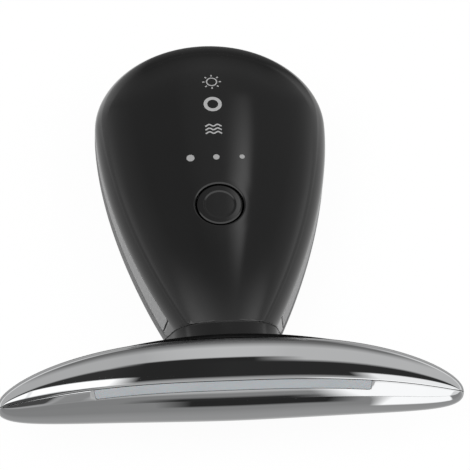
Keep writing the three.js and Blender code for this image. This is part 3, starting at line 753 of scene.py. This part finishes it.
screw = {
    "holeRadius": 1.3 * mm, "headRadius": 1.9 * mm, "headThick": 1.4 * mm, "headSide": 0.47 * mm, "edge": 0.1 * mm,
    "bevel": 0.05 * mm, "sides": 40,
    "crown": [(0, 0), (0.55, 0.06 * mm), (0.8, 0.16 * mm), (0.95, 0.35 * mm)],    # shares of the radius, and heights
    "shankRadius": 1 * mm, "rootRadius": 0.78 * mm, "pitch": 0.5 * mm, "threadRise": 0.22 * mm,
    "threadFrom": 0.3 * mm, "threadEnd": 0.9 * mm, "tip": 0.6 * mm, "tipRadius": 0.3 * mm,
    "slotDeep": 0.75 * mm, "slotLength": 2.1 * mm, "slotWidth": 0.5 * mm,
    "headX": 36 * mm, "headWellRadius": 2.2 * mm, "headWellDepth": 2.6 * mm, "headGap": 0.3 * mm, "headEnd": 1.2 * mm,
}


def slottedScrew(name, length):
    c = screw
    radius, root, thick = c["headRadius"], c["rootRadius"], c["headThick"]
    profile = [(share * radius, height) for share, height in c["crown"]]
    profile += [(radius, c["headSide"]), (radius, thick - c["edge"]), (radius - c["edge"], thick), (root, thick)]
    height = thick + c["threadFrom"]
    while height < length - c["threadEnd"]:
        profile += [(root, height), (c["shankRadius"], height + c["threadRise"])]
        height += c["pitch"]
    profile += [(root, length - c["tip"]), (c["tipRadius"], length), (0, length)]
    piece = turned(name, profile, (0, 0), c["sides"])
    slot = start("slot", bpy.ops.mesh.primitive_cube_add, size=1)
    editAll(slot)
    bpy.ops.transform.resize(value=(c["slotLength"], c["slotWidth"], 2 * c["slotDeep"]))
    leaveEdit()
    cutBy(piece, slot)
    roundEdges(piece, c["bevel"], 55)
    smooth(piece)
    finish(piece, "zincSteel")
    return piece


def placeScrew(first, name, place, node):
    piece = first.copy()
    piece.data = first.data.copy()
    piece.name = name
    bpy.context.collection.objects.link(piece)
    piece.data.transform(place)
    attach(piece, "root")
    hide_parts(node)


def screws():
    c = screw
    low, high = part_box("case_screw_1")
    first = slottedScrew("caseScrewMaster", high.z - low.z)
    for number in range(1, 5):
        low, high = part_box(f"case_screw_{number}")
        place = Matrix.Translation(((low.x + high.x) / 2, (low.y + high.y) / 2, low.z))
        placeScrew(first, f"caseScrew{number}", place @ Matrix.Rotation(0.5 * number, 4, "Z"), f"case_screw_{number}")
    bpy.data.objects.remove(first, do_unlink=True)
    under = -c["headWellDepth"] - c["headGap"] - c["headThick"]
    first = slottedScrew("headScrewMaster", c["headEnd"] - under)
    for name, side in (("left", -1), ("right", 1)):
        place = headPlace @ Matrix.Translation((side * c["headX"], 0, under)) @ Matrix.Rotation(0.7 * side, 4, "Z")
        placeScrew(first, f"headScrew{name.title()}", place, f"head_screw_{name}")
    bpy.data.objects.remove(first, do_unlink=True)


# Rear cover

rear = {
    "rays": 256, "rows": 40, "wallRows": 8, "wall": 1.8 * mm, "edge": 0.18 * mm, "centreY": 14 * mm,
    "wells": [(12.6 * mm, -12.5 * mm), (16 * mm, 41 * mm)], "wellRadius": 2.2 * mm, "wellDepth": 4 * mm,
    "wellWall": 1.2 * mm, "wellRim": 0.3 * mm, "bossLow": 0.4 * mm, "bossTop": 7.2 * mm,
    "mouthWidth": 9.5 * mm, "mouthHeight": 3.9 * mm, "mouthZ": 10.4 * mm, "mouthFrom": 5 * mm, "mouthDepth": 8 * mm,
}


def stadium(name, width, height, depth, centre):
    turn = (math.pi / 2, 0, 0)
    add = bpy.ops.mesh.primitive_circle_add
    piece = start(name, add, vertices=48, radius=height / 2, rotation=turn, location=centre)
    placeInMesh(piece)
    straight = (width - height) / 2
    for point in piece.data.vertices:
        point.co.x += straight if point.co.x > 0 else -straight
    editAll(piece)
    bpy.ops.mesh.edge_face_add()
    bpy.ops.mesh.extrude_region_move(TRANSFORM_OT_translate={"value": (0, depth, 0)})
    bpy.ops.mesh.select_all(action="SELECT")
    bpy.ops.mesh.normals_make_consistent(inside=False)
    leaveEdit()
    return piece


def rearCover():
    c = rear
    centre = (0, c["centreY"])
    rays = raysRound(centre, c["rays"])
    neckFoot = trimNeckFoot - handle["seam"]

    def place(column, row):
        heading, reach = rays[column % c["rays"]]
        if row <= c["rows"]:
            share = math.sin(math.pi / 2 * row / c["rows"]) ** (2 / handle["footCornerPower"])
            x, y = along(centre, heading, reach * share)
            return Vector((x, y, floorZ(x, y)))
        x, y = along(centre, heading, reach)
        rise = (row - c["rows"]) / c["wallRows"]
        low = floorZ(x, y)
        high = max(neckFoot, trimFootAt(y) - handle["seam"])
        return Vector((x, y, low + (high - low) * rise))

    piece = sheet("rearCover", c["rays"], c["rows"] + c["wallRows"], place)
    plane = ((0, handle["neckPlaneY"], 0), (0, 1, handle["neckPlaneLean"]))
    trimTo(piece, [plane], lambda middle: middle.y > neckPlaneAt(middle.z))
    faceAwayFrom(piece, insideHandle)
    thicken(piece, c["wall"])
    roundEdges(piece, c["edge"])
    radius, rim, hole = c["wellRadius"], c["wellRim"], screw["holeRadius"]
    wide = radius + c["wellWall"]
    boss = [(0, c["bossLow"]), (wide, c["bossLow"]), (wide, c["bossTop"]), (0, c["bossTop"])]
    well = [(0, -past), (radius + rim, -past)]
    well += arc((radius + rim, 0.9 * rim), rim, 270, 180, 4)    # starts just below the floor
    well += [(radius, c["wellDepth"]), (hole, c["wellDepth"]), (hole, c["bossTop"] + past), (0, c["bossTop"] + past)]
    for x, y in c["wells"]:
        for side in (-1, 1):
            cutBy(piece, turned("boss", boss, (side * x, y), 48), "UNION")
            mergeClose(piece)    # the joined boss can leave a sliver open
            cutBy(piece, turned("well", well, (side * x, y), 48))
    mouthPlace = (0, handle["tailY"] - c["mouthFrom"], c["mouthZ"])
    cutBy(piece, stadium("mouth", c["mouthWidth"], c["mouthHeight"], c["mouthDepth"], mouthPlace))
    smooth(piece)
    finish(piece, "silverCase")
    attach(piece, "root")
    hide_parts("rear_cover")


# Head shells and light window

shell = {
    "wall": 1.2 * mm, "edge": 0.02 * mm, "rows": 40, "tipColumns": 52, "middleColumns": 60,
    "slotShare": 0.2, "slotPast": 2.9 * mm,    # the rows above this depth follow the slot's edge
}


# How far below the seam the slot's lower edge lies: rounded corners, and ends that slant up to the seam
def slotDepth(x, grow=0.0):
    corner = strip["corner"] + grow
    deep = strip["height"] + grow
    beyond = abs(x) - (strip["halfLength"] + grow - corner)
    if beyond <= 0:
        return deep
    turn = 0.8 * corner
    if beyond <= turn:
        return deep - corner + math.sqrt(corner ** 2 - beyond ** 2)
    low = deep - corner + math.sqrt(corner ** 2 - turn ** 2)
    return max(0.0, low * (1 - (beyond - turn) / strip["slant"]))


# Places along the head, close together at the tips and round the ends of the slot
def headStations():
    half = head["halfLength"]
    slotEnd = strip["halfLength"] + strip["gap"]
    corner = strip["corner"] + strip["gap"]
    count = shell["middleColumns"] // 2
    inner = [(slotEnd - corner) * i / count for i in range(count)]
    bend = [slotEnd - corner + 0.8 * corner * math.sin(math.pi / 2 * i / 6) for i in range(7)]
    last = bend[-1] + strip["slant"]
    bendEnd = math.asin(last / half)
    outer = [last]
    for i in range(1, shell["tipColumns"] + 1):
        share = i / shell["tipColumns"]
        angle = bendEnd + (math.pi / 2 - bendEnd) * (1 - (1 - share) ** 1.3)
        outer.append(half * math.sin(angle))
    right = inner + bend + outer
    return [-x for x in reversed(right[1:])] + right


# Skin from one height off the seam round to the back edge, outside or a wall's thickness inside
def shellSkin(x, share, inside, side, offSeam):
    half = head["halfLength"]
    reach = head["up"] if side > 0 else head["down"]
    power = head["upPower"] if side > 0 else head["downPower"]
    tall = reach * headShare(x, half) ** power
    deep = head["front"] * headShare(x, half) ** head["frontPower"]
    if tall < head["tip"]:
        return headPoint(x, 0)
    band = shell["slotShare"]
    low = math.asin(min(0.6, offSeam / tall))
    under = math.asin(min(0.75, shell["slotPast"] / tall))
    high = math.acos(min(0.6, head["gap"] / deep))
    if share < band:
        angle = low + (under - low) * share / band
    else:
        angle = under + (high - under) * (share - band) / (1 - band)
    inset = min(shell["wall"], 0.4 * min(tall, deep)) if inside else 0.0
    return headPoint(x, side * angle, inset)


def upperShell():
    def skin(x, share, inside):
        return shellSkin(x, share, inside, 1, head["gap"])

    dressShell("headUpperShell", skin, "head_upper_shell")


def lowerShell():
    def skin(x, share, inside):
        return shellSkin(x, share, inside, -1, head["gap"] + slotDepth(x, strip["gap"]))

    dressShell("headLowerShell", skin, "head_lower_shell")


def dressShell(name, skin, node):
    piece = walled(name, headStations(), shell["rows"], skin)
    roundEdges(piece, shell["edge"])
    smooth(piece, 45)
    piece.data.transform(headPlace)
    finish(piece, "platedShell")
    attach(piece, "root")
    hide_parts(node)


def lightWindow():
    end = strip["halfLength"] - 0.2 * strip["corner"] + 0.9 * strip["slant"]
    count = strip["columns"]
    stations = [end * math.sin(math.pi / 2 * (i / count - 1)) for i in range(2 * count + 1)]

    def skin(x, share, inside):
        down = head["down"] * headShare(x, head["halfLength"]) ** head["downPower"]
        top = head["gap"] + strip["topGap"]
        low = head["gap"] + slotDepth(x)
        angle = -math.asin((top + (low - top) * share) / down)
        return headPoint(x, angle, strip["depth"] if inside else strip["inset"])

    piece = walled("lightWindow", stations, 8, skin)
    roundEdges(piece, strip["edge"])
    smooth(piece)
    piece.data.transform(headPlace)
    finish(piece, "milkyWindow")
    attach(piece, "root")
    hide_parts("light_window")


# Head back cover and neck

neck = {
    "start": 0.3 * mm, "bend": 0.42, "reach": 17 * mm, "headPlane": -0.8 * mm, "rimDrop": 0.1 * mm,
    "footRise": 1.3 * mm, "sides": 28, "stations": 36, "backWall": 1.6 * mm, "edge": 0.12 * mm,
    "loftInset": 0.06 * mm, "sealInset": 0.04 * mm, "sealWidth": 1.6 * mm, "sealNear": 0.01 * mm,
    "sealFar": 0.29 * mm, "sealEdge": 0.03 * mm,
}


def endHalfWidth(z):
    y = neckPlaneAt(z)
    foot = wallFootAt(y)
    width = planHalfWidth(y)
    if z >= handle["edgeZ"]:
        rise = min(1.0, (z - handle["edgeZ"]) / (crownAt(y) - handle["edgeZ"]))
        return width * (1 - rise ** handle["domeTop"]) ** (1 / handle["domeSide"])
    if z >= foot:
        return width
    fall = min(1.0, (foot - z) / foot)
    power = handle["footCornerPower"]
    wide, narrow = handle["footCornerWide"], handle["footCornerNeck"]
    corner = wide + (narrow - wide) * min(1.0, neckShare(y))
    return width - corner * (1 - (1 - fall ** power) ** (1 / power))


def endCrown():
    z = handle["crownZ"]
    for step in range(12):    # the plane leans, so the crown's height settles in steps
        z = crownAt(neckPlaneAt(z))
    return z


# Half of the handle's outline on the plane that ends it, floor to crown
def endOutline(inset):
    top = endCrown()
    sides = neck["sides"]
    points = [Vector((0, neckPlaneAt(inset), inset))]
    for j in range(sides + 1):
        share = 0.5 - 0.5 * math.cos(math.pi * j / sides)
        x = 0 if j == sides else max(0.0, endHalfWidth(top * share) - inset)
        height = inset + (top - 2 * inset) * share
        points.append(Vector((x, neckPlaneAt(height), height)))
    return points


# Half of the neck's outline at the head
def headOutline(inset):
    sides = neck["sides"]
    top = head["up"] + head["rim"] + head["rimRise"] - neck["rimDrop"] - inset
    bottom = -head["down"] + neck["footRise"] + inset
    points = []
    for j in range(sides + 2):
        turn = math.pi * (j / (sides + 1) - 0.5)
        y = bottom + (top - bottom) * (0.5 + 0.5 * math.sin(turn))
        x = (neck["reach"] - inset) * max(0.0, math.cos(turn))
        points.append(headPlace @ Vector((x, y, neck["headPlane"])))
    return points


# Places of half an outline in order, out along one side and back along the other
def bothSides(count):
    return [(j, 1) for j in range(count)] + [(j, -1) for j in range(count - 2, 0, -1)]


def neckLoft():
    starts = endOutline(neck["loftInset"])
    ends = headOutline(handle["seam"])
    loop = bothSides(len(starts))
    stations = neck["stations"]

    def place(column, row):
        j, side = loop[column % len(loop)]
        begin = starts[j] + Vector((0, -neck["start"], 0))
        control = begin + Vector((0, -neck["bend"] * (begin - ends[j]).length, 0))
        t = row / stations
        point = begin * (1 - t) ** 2 + control * (2 * t * (1 - t)) + ends[j] * t * t
        return Vector((side * point.x, point.y, point.z))

    piece = sheet("neck", len(loop), stations, place)
    closeHoles(piece)
    return piece


def headBackCover():
    stretch = (head["halfLength"] + head["rim"] / 2) / head["halfLength"]
    stations = [x * stretch for x in headStations()]

    def skin(x, share, inside):
        size = headShare(x, head["halfLength"] + head["rim"] / 2)
        back = head["back"] * size ** head["frontPower"]
        tall = head["down"] * size ** head["downPower"]
        if tall < head["tip"]:
            return headPoint(x, math.pi / 2, 0, head["rim"])
        edge = math.acos(min(0.6, head["gap"] / back))
        inset = min(neck["backWall"], 0.4 * min(tall, back)) if inside else 0.0
        return headPoint(x, math.pi - edge + 2 * edge * share, inset, head["rim"])

    piece = walled("headBackCover", stations, 48, skin)
    radius, deep, hole = screw["headWellRadius"], -screw["headWellDepth"], screw["holeRadius"]
    low = -9 * mm
    well = [(0, low), (radius, low), (radius, deep), (hole, deep), (hole, past), (0, past)]
    for side in (-1, 1):
        cutBy(piece, turned("headWell", well, (side * screw["headX"], 0), 48))
    roundEdges(piece, neck["edge"])
    piece.data.transform(headPlace)
    joinInto(piece, [neckLoft()])
    smooth(piece)
    finish(piece, "neckBlack")
    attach(piece, "root")
    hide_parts("head_back_cover")


# Rubber ring between the handle's end and the neck
def neckSeal():
    outer = endOutline(neck["sealInset"])
    inner = endOutline(neck["sealInset"] + neck["sealWidth"])
    ring = [(outer, neck["sealNear"]), (outer, neck["sealFar"]), (inner, neck["sealFar"]), (inner, neck["sealNear"])]
    loop = bothSides(len(outer))

    def place(column, row):
        j, side = loop[column % len(loop)]
        points, behind = ring[row % len(ring)]
        return Vector((side * points[j].x, points[j].y - behind, points[j].z))

    piece = sheet("neckSeal", len(loop), len(ring), place)
    closeHoles(piece)
    roundEdges(piece, neck["sealEdge"])
    smooth(piece)
    finish(piece, "softRubber")
    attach(piece, "root")
    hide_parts("neck_seal")


# Button

button = {
    "radius": 5.8 * mm, "sink": 0.14 * mm, "fillet": 0.5 * mm, "ringRadius": 4.15 * mm, "ringWidth": 0.5 * mm,
    "dishDepth": 0.16 * mm, "hollow": 0.02 * mm, "hollowSteps": (0.94, 0.8, 0.6, 0.4, 0.2, 0.0), "lip": 0.25 * mm,
    "flangeRadius": 6.8 * mm, "flangeTop": -2.9 * mm, "flangeLow": -3.5 * mm, "flangeCorner": 0.2 * mm,
    "stemRadius": 1.5 * mm, "stemLow": -3.7 * mm, "sides": 128,
}


def buttonCap():
    c = button
    top, fillet, lip = -c["sink"], c["fillet"], c["lip"]
    low = top - c["dishDepth"]
    slope = math.degrees(math.atan2(c["dishDepth"], c["ringWidth"]))
    floorRadius = c["ringRadius"] - c["ringWidth"]
    flange, corner = c["flangeRadius"], c["flangeCorner"]
    profile = [(0.0, c["stemLow"]), (c["stemRadius"], c["stemLow"]), (c["stemRadius"], c["flangeLow"])]
    profile += [(flange - corner, c["flangeLow"]), (flange, c["flangeLow"] + corner), (flange, c["flangeTop"])]
    profile += [(c["radius"] - 0.02 * mm, c["flangeTop"])]
    profile += arc((c["radius"] - fillet, top - fillet), fillet, 0, 90, 8)
    profile += [(c["radius"] - fillet - 0.15 * mm, top), (c["ringRadius"] + 0.2 * mm, top)]
    profile += arc((c["ringRadius"], top - lip), lip, 90, 90 + slope, 3)
    profile += arc((floorRadius, low + lip), lip, 270 + slope, 270, 3)
    profile += [(floorRadius * share, low - c["hollow"] * (1 - share ** 2)) for share in c["hollowSteps"]]
    piece = turned("buttonCap", profile, (0, cover["buttonY"]), c["sides"])
    layOnCover(piece)
    smooth(piece, 60)
    finish(piece, "glossBlack")
    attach(piece, "button")
    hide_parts("button_cap")


# Indicator dots

dots = {
    "y": 12.9 * mm, "pitch": 6.55 * mm, "radii": [1.05 * mm, 0.85 * mm, 0.7 * mm], "low": -6 * mm,
    "edge": 0.12 * mm, "edgeTop": 0.03 * mm, "top": 0.05 * mm,
}


def indicatorGuides():
    for number, radius in enumerate(dots["radii"]):
        x, edge = (number - 1) * dots["pitch"], dots["edge"]
        profile = [(0.0, dots["low"]), (radius, dots["low"])]
        profile += arc((radius - edge, dots["edgeTop"] - edge), edge, 0, 90, 4)
        profile += [(radius * 0.5, 0.9 * dots["top"]), (0.0, dots["top"])]
        piece = turned(f"indicatorGuide{number + 1}", profile, (x, dots["y"]), 48)
        layOnCover(piece)
        smooth(piece, 60)
        finish(piece, "milkyDot")
        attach(piece, "root")
        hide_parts(f"indicator_guide_{number + 1}")


# Printed symbols

prints = {
    "lift": 0.02 * mm, "sink": -0.3 * mm,
    "sunX": 0.3 * mm, "sunY": 37.1 * mm, "sunRadius": 1.45 * mm, "sunLine": 0.3 * mm, "rays": 8,
    "rayFrom": 1.85 * mm, "rayTo": 2.4 * mm, "rayWidth": 0.34 * mm,
    "ringX": 0.12 * mm, "ringY": 29.7 * mm, "ringRadius": 2.33 * mm, "ringLine": 0.92 * mm,
    "wavesX": -0.15 * mm, "wavesY": 21.7 * mm, "waveWidth": 4.2 * mm, "waveLine": 0.4 * mm,
    "wavePitch": 1.15 * mm, "waveHeight": 0.26 * mm,
}


def printRing(name, centre, radius, line):
    lift, sink = prints["lift"], prints["sink"]
    profile = [(radius - line, sink), (radius, sink), (radius, lift), (radius - line, lift), (radius - line, sink)]
    return turned(name, profile, centre, 72)


# A flat line of even width along a route given by at(share), drawn down into the cover
def printLine(name, at, width, steps, rows=2):
    lift, sink = prints["lift"], prints["sink"]

    def place(column, row):
        share = column / steps
        here = Vector(at(share))
        ahead = Vector(at(min(1.0, share + 0.01))) - Vector(at(max(0.0, share - 0.01)))
        side = Vector((-ahead.y, ahead.x)).normalized()
        return (here + side * width * (row / rows - 0.5)).to_3d() + Vector((0, 0, lift))

    piece = sheet(name, steps, rows, place)
    faceAwayFrom(piece, Vector((0, 20 * mm, -1)))
    thicken(piece, lift - sink)
    return piece


def dressPrint(piece):
    layOnCover(piece)
    smooth(piece, 30)
    finish(piece, "printedInk")
    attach(piece, "root")


def printedSymbols():
    p = prints
    sun = printRing("printSun", (p["sunX"], p["sunY"]), p["sunRadius"], p["sunLine"])
    rays = []
    for number in range(p["rays"]):
        angle = 2 * math.pi * number / p["rays"]

        def at(share, heading=(math.cos(angle), math.sin(angle))):
            return along((p["sunX"], p["sunY"]), heading, p["rayFrom"] + (p["rayTo"] - p["rayFrom"]) * share)

        rays.append(printLine("ray", at, p["rayWidth"], 4))
    dressPrint(joinInto(sun, rays))
    dressPrint(printRing("printRing", (p["ringX"], p["ringY"]), p["ringRadius"], p["ringLine"]))
    waves = []
    for number in range(3):
        middle = p["wavesY"] + (number - 1) * p["wavePitch"]

        def at(share, middle=middle):
            x = p["waveWidth"] * (share - 0.5)
            return p["wavesX"] + x, middle - p["waveHeight"] * math.cos(4 * math.pi * share)

        waves.append(printLine("printWaves", at, p["waveLine"], 48))
    dressPrint(joinInto(waves[0], waves[1:]))


frontCover()
sideTrim()
rearCover()
print("handle made")
upperShell()
lowerShell()
lightWindow()
headBackCover()
neckSeal()
screws()
print("head made")
buttonCap()
indicatorGuides()
printedSymbols()
print("button, dots and printed symbols made")

# CAD nodes that stay get their finishes
nodeFinishes = {
    "motor_holder": "softRubber", "cell_pad": "padFoam",
    "head_frame": "darkPlastic", "switch_plunger": "darkPlastic", "boost_coil": "darkPlastic",
    "led_board": "circuitBoard", "main_board": "circuitBoard", "charge_board": "circuitBoard",
    "heating_film": "amberFilm", "thermistor": "mouldedChip", "switch_body": "mouldedChip",
    "control_chip": "mouldedChip", "charge_chip": "mouldedChip", "socket_tongue": "mouldedChip",
    "upper_contact": "rolledBrass", "lower_contact": "rolledBrass", "eccentric_weight": "rolledBrass",
    "battery_cell": "pouchFoil", "motor_can": "zincSteel", "motor_shaft": "zincSteel",
    "charge_socket": "zincSteel", "neck_bracket": "zincSteel", "head_cable": "blackWire",
    "cell_lead_plus": "redWire", "motor_lead_plus": "redWire",
    "cell_lead_minus": "blackWire", "motor_lead_minus": "blackWire",
}
for name in nodes:
    if "screw" in name:
        nodeFinishes[name] = "zincSteel"
    if "_led_" in name:
        nodeFinishes[name] = "clearResin"
for name, chosen in nodeFinishes.items():
    finish(nodes[name], chosen)
print("CAD nodes finished:", len(nodeFinishes))

# Floor, world and what the gloss reflects

studio = {
    "floorSize": 6.0, "floorTones": (grey(0.93), grey(0.95)), "floorWhite": 0.96, "worldGrey": 0.6,
    "axis": Vector((0, headCentreY, head["centreZ"])), "tentRadius": 2.5, "sheetLift": 0.3 * mm,
}


# 1 for the rays to which a backdrop looks plain white
def whiteRays(look):
    kinds = ("Camera", "Glossy", "Transmission")
    rays = [look.add("ShaderNodeLightPath", {}, {}, f"Is {kind} Ray") for kind in kinds]
    return (rays[0] + rays[1] + rays[2]).maths("MINIMUM", 1.0)


def stageFloor():
    floor = start("floor", bpy.ops.mesh.primitive_plane_add, size=studio["floorSize"])
    look = Look("paleFloor")
    look.set(colour=look.blend(look.noise(3, 2), *studio["floorTones"]), roughness=0.9)
    white = look.add("ShaderNodeEmission", {}, {"Color": (1, 1, 1, 1), "Strength": 1.0})
    shaded = Wire(look, look.shader.outputs[0])
    share = whiteRays(look) * studio["floorWhite"]
    look.surface(look.add("ShaderNodeMixShader", {}, {0: share, 1: shaded, 2: white}))
    floor.data.materials.append(look.material)


def stageWorld():
    world = bpy.data.worlds.new("studioWorld")
    bpy.context.scene.world = world
    world.use_nodes = True
    look = Look("studioWorld", world.node_tree)
    sky = look.tree.nodes["Background"]
    sky.inputs["Color"].default_value = (1, 1, 1, 1)
    look.feed(sky.inputs["Strength"], look.spread(whiteRays(look), 0, 1, studio["worldGrey"], 1.0))


# Shows a piece to glossy rays alone, as a glow of its own, or as a glow added to what lies behind it if it is clear
def glossOnly(piece, look, glow, clear=False):
    look.tree.nodes.remove(look.shader)
    shine = look.add("ShaderNodeEmission", {}, {"Color": (1, 1, 1, 1), "Strength": glow})
    if clear:
        through = look.add("ShaderNodeBsdfTransparent", {}, {})
        shine = look.add("ShaderNodeAddShader", {}, {0: through, 1: shine})
    look.surface(shine)
    look.material.cycles.emission_sampling = "NONE"
    piece.data.materials.append(look.material)
    for ray in ("camera", "diffuse", "transmission", "volume_scatter", "shadow"):
        setattr(piece, f"visible_{ray}", False)


# 1 between two limits and 0 outside them, with soft edges
def within(look, wire, limits, soft):
    rise = look.spread(wire - limits[0], -soft, soft)
    return rise * look.spread(wire - limits[1], -soft, soft, 1.0, 0.0)


# Boxes of light and flags of shade, in degrees. Turn is the angle about the head's length, 0 in front, 90 above
# and 180 behind, and lean is the angle to the left or right. Slant moves the turn's two limits with the lean, and
# tilt moves the lean's two limits with the turn.
softBoxes = [
    {"turn": (100, 260), "lean": (-90, 2), "glow": 0.61, "soft": (2, 8)},
    {"turn": (100, 260), "lean": (2, 90), "glow": 0.69, "soft": (2, 8)},
    {"turn": (162, 260), "lean": (-24, 30), "glow": 0.22, "soft": (12, 8)},
    {"turn": (50, 111), "lean": (-90, 0), "glow": 0.045, "soft": (3, 2)},
    {"turn": (50, 115), "lean": (-9, 9), "glow": 0.03, "soft": (2, 3)},
    {"turn": (50, 103), "lean": (2, 90), "glow": 0.035, "soft": (4, 2)},
    {"turn": (44, 60), "lean": (-10, 20), "glow": 0.5, "soft": (3, 3)},
    {"turn": (53, 67), "lean": (-35, -8), "glow": 1.65, "soft": (1.5, 2), "slant": (-0.45, -1)},
    {"turn": (53, 101), "lean": (-90, -35), "glow": 1.65, "soft": (2, 2), "slant": (-0.45, 0)},
    {"turn": (24, 53), "lean": (-90, -17), "glow": 0.09, "soft": (5, 2), "slant": (0, -0.45)},
    {"turn": (18, 48), "lean": (-17, -8), "glow": 0.38, "soft": (5, 2)},
    {"turn": (24, 48), "lean": (-8, 12), "glow": 0.6, "soft": (5, 2)},
    {"turn": (-90, 22), "lean": (-90, 14), "glow": 0.32, "soft": (5, 3)},
    {"turn": (-90, 8), "lean": (-2, 10), "glow": 0.035, "soft": (3, 2)},
    {"turn": (44, 67), "lean": (19, 90), "glow": 1.3, "soft": (2, 2), "slant": (0, 0.3)},
    {"turn": (-34, 46), "lean": (11.5, 43), "glow": 1.5, "soft": (2, 1.5), "tilt": (0, 0.5)},
]


# Shades on the floor for glossy rays. X runs from one limit to another, "half" to either side of "middle". The
# limits open, and the middle drifts, with the distance from y's near limit.
plainShade = {"middle": 0.0, "open": 0.0, "drift": 0.0}
floorShades = [
    {"y": (-3.0, -0.058), "half": 3.0, "glow": 0.33, "soft": (0.002, 0.1)},
    {"y": (-0.082, -0.05), "half": 2.0, "glow": 0.42, "soft": (0.012, 0.1)},
    {
        "y": (-3.0, -0.122), "half": 0.026, "glow": 0.03, "soft": (0.012, 0.2),
        "middle": 0.012, "open": 0.1, "drift": 0.1,
    },
    {
        "y": (-0.9, -0.082), "half": 0.018, "glow": 1.5, "soft": (0.003, 0.1),
        "middle": 0.058, "open": 0.3, "drift": 0.55,
    },
    {"y": (-0.05, 0.07), "half": 0.15, "glow": 0.45, "soft": (0.012, 0.2)},
    {"y": (0.04, 3.0), "half": 0.03, "glow": 0.16, "soft": (0.01, 0.4), "middle": 0.015, "open": 0.5},
]


def stageFloorShades():
    place = (0, 0, studio["sheetLift"])
    piece = start("floorShades", bpy.ops.mesh.primitive_grid_add, size=studio["floorSize"], location=place)
    look = Look("floorShades")
    x, y = look.axes()[:2]
    glow = 1.0
    for row in floorShades:
        shade = {**plainShade, **row}
        low, high = shade["y"]
        away = (y - (high if high < 0 else low)).maths("ABSOLUTE")
        offset = x - (away * shade["drift"] + shade["middle"])
        share = offset.maths("DIVIDE", away * shade["open"] + shade["half"])
        mask = within(look, y, shade["y"], shade["soft"][0]) * within(look, share, (-1, 1), shade["soft"][1])
        glow = glow + mask * (shade["glow"] - glow)
    glossOnly(piece, look, glow)


# A ball round the head's axis, with its look and the turn and lean of its places
def skyBall(name, radius):
    ball = start(name, bpy.ops.mesh.primitive_ico_sphere_add, subdivisions=4, radius=radius, location=studio["axis"])
    look = Look(name)
    x, y, z = look.axes()
    turn = z.maths("ARCTAN2", y * -1) * math.degrees(1)
    lean = (x * (1 / radius)).maths("ARCSINE") * math.degrees(1)
    return ball, look, turn + turn.maths("LESS_THAN", -90.0) * 360, lean


# Limits that move with another angle
def leaning(limits, shifts, other):
    return [other * shift + limit if shift else limit for limit, shift in zip(limits, shifts)]


def skyGlow(look, turn, lean):
    glow = 1.0
    for box in softBoxes:
        turns = leaning(box["turn"], box.get("slant", (0, 0)), lean)
        leans = leaning(box["lean"], box.get("tilt", (0, 0)), turn)
        mask = within(look, turn, turns, box["soft"][0]) * within(look, lean, leans, box["soft"][1])
        glow = glow + mask * (box["glow"] - glow)
    return glow


def stageTent():
    tent, look, turn, lean = skyBall("reflectionTent", studio["tentRadius"])
    glossOnly(tent, look, skyGlow(look, turn, lean))


# What the black cover shows more than the plating does: a long streak to the right of its middle, paler
# sides, and a paler end near the neck
coverSky = {
    "radius": 2.4, "middle": 0.56, "side": 0.95, "farMiddle": 0.2, "farSide": 1.4, "sideLean": (30, 66),
    "farTurn": (145, 172), "neckTurn": (112, 103), "neckGlow": 2.4, "rightLean": (15, 60), "rightShift": 5,
    "rimLean": (64, 80), "rimGlow": 0.35,
    "streakDrift": 0.1, "streakLean": -1.7, "streakLeft": (-6, 0), "streakRight": (2, 5.5),
    "streakGlow": 2.8, "streakRise": (112.5, 118), "streakFall": (123, 133),
    "floorSize": (0.34, 0.16), "floorGlow": 0.55,
}


def stageCoverSky():
    c = coverSky
    ball, look, turn, lean = skyBall("coverSky", c["radius"])
    aside = lean.maths("ABSOLUTE")
    side = look.spread(aside, *c["sideLean"])
    near = side * (c["side"] - c["middle"]) + c["middle"]
    far = side * (c["farSide"] - c["farMiddle"]) + c["farMiddle"]
    wanted = near + look.spread(turn, *c["farTurn"]) * (far - near)
    shifted = turn - look.spread(lean, *c["rightLean"]) * c["rightShift"]
    wanted = wanted + look.spread(shifted, *c["neckTurn"]) * c["neckGlow"]
    wanted = wanted + look.spread(aside, *c["rimLean"]) * c["rimGlow"]
    off = lean - (turn * c["streakDrift"] + c["streakLean"])
    streak = look.spread(off, *c["streakLeft"]) * look.spread(off, *c["streakRight"], 1.0, 0.0)
    streak = streak * look.spread(turn, *c["streakRise"]) * look.spread(turn, *c["streakFall"], 1.0, 0.0)
    wanted = wanted + streak * c["streakGlow"]
    glossOnly(ball, look, (wanted - skyGlow(look, turn, lean)).maths("MAXIMUM", 0.0), clear=True)
    flat = start("coverFloor", bpy.ops.mesh.primitive_plane_add, size=1, location=(0, 0, 2 * studio["sheetLift"]))
    editAll(flat)
    bpy.ops.transform.resize(value=(c["floorSize"][0], c["floorSize"][1], 1))
    leaveEdit()
    glossOnly(flat, Look("coverFloor"), c["floorGlow"], clear=True)
    seers = bpy.data.collections.new("coverSkySeers")
    for name in ("frontCover", "buttonCap"):
        seers.objects.link(bpy.data.objects[name])
    for piece in (ball, flat):
        piece.light_linking.receiver_collection = seers


lamps = {
    "keyLamp": {"place": (-0.5, -0.3, 0.9), "size": 0.6, "power": 5},
    "fillLamp": {"place": (0.6, -0.2, 0.7), "size": 0.6, "power": 3},
}


def stageLamps():
    for name, c in lamps.items():
        lamp = start(name, bpy.ops.object.light_add, type="AREA", location=c["place"])
        lamp.data.size = c["size"]
        lamp.data.energy = c["power"]
        lamp.rotation_euler = (Vector((0, 0, 0.03)) - Vector(c["place"])).to_track_quat("-Z", "Y").to_euler()
        lamp.visible_glossy = False


stageFloor()
stageWorld()
stageFloorShades()
stageTent()
stageCoverSky()
stageLamps()
bpy.context.scene.view_settings.view_transform = "Standard"
print("stage set")
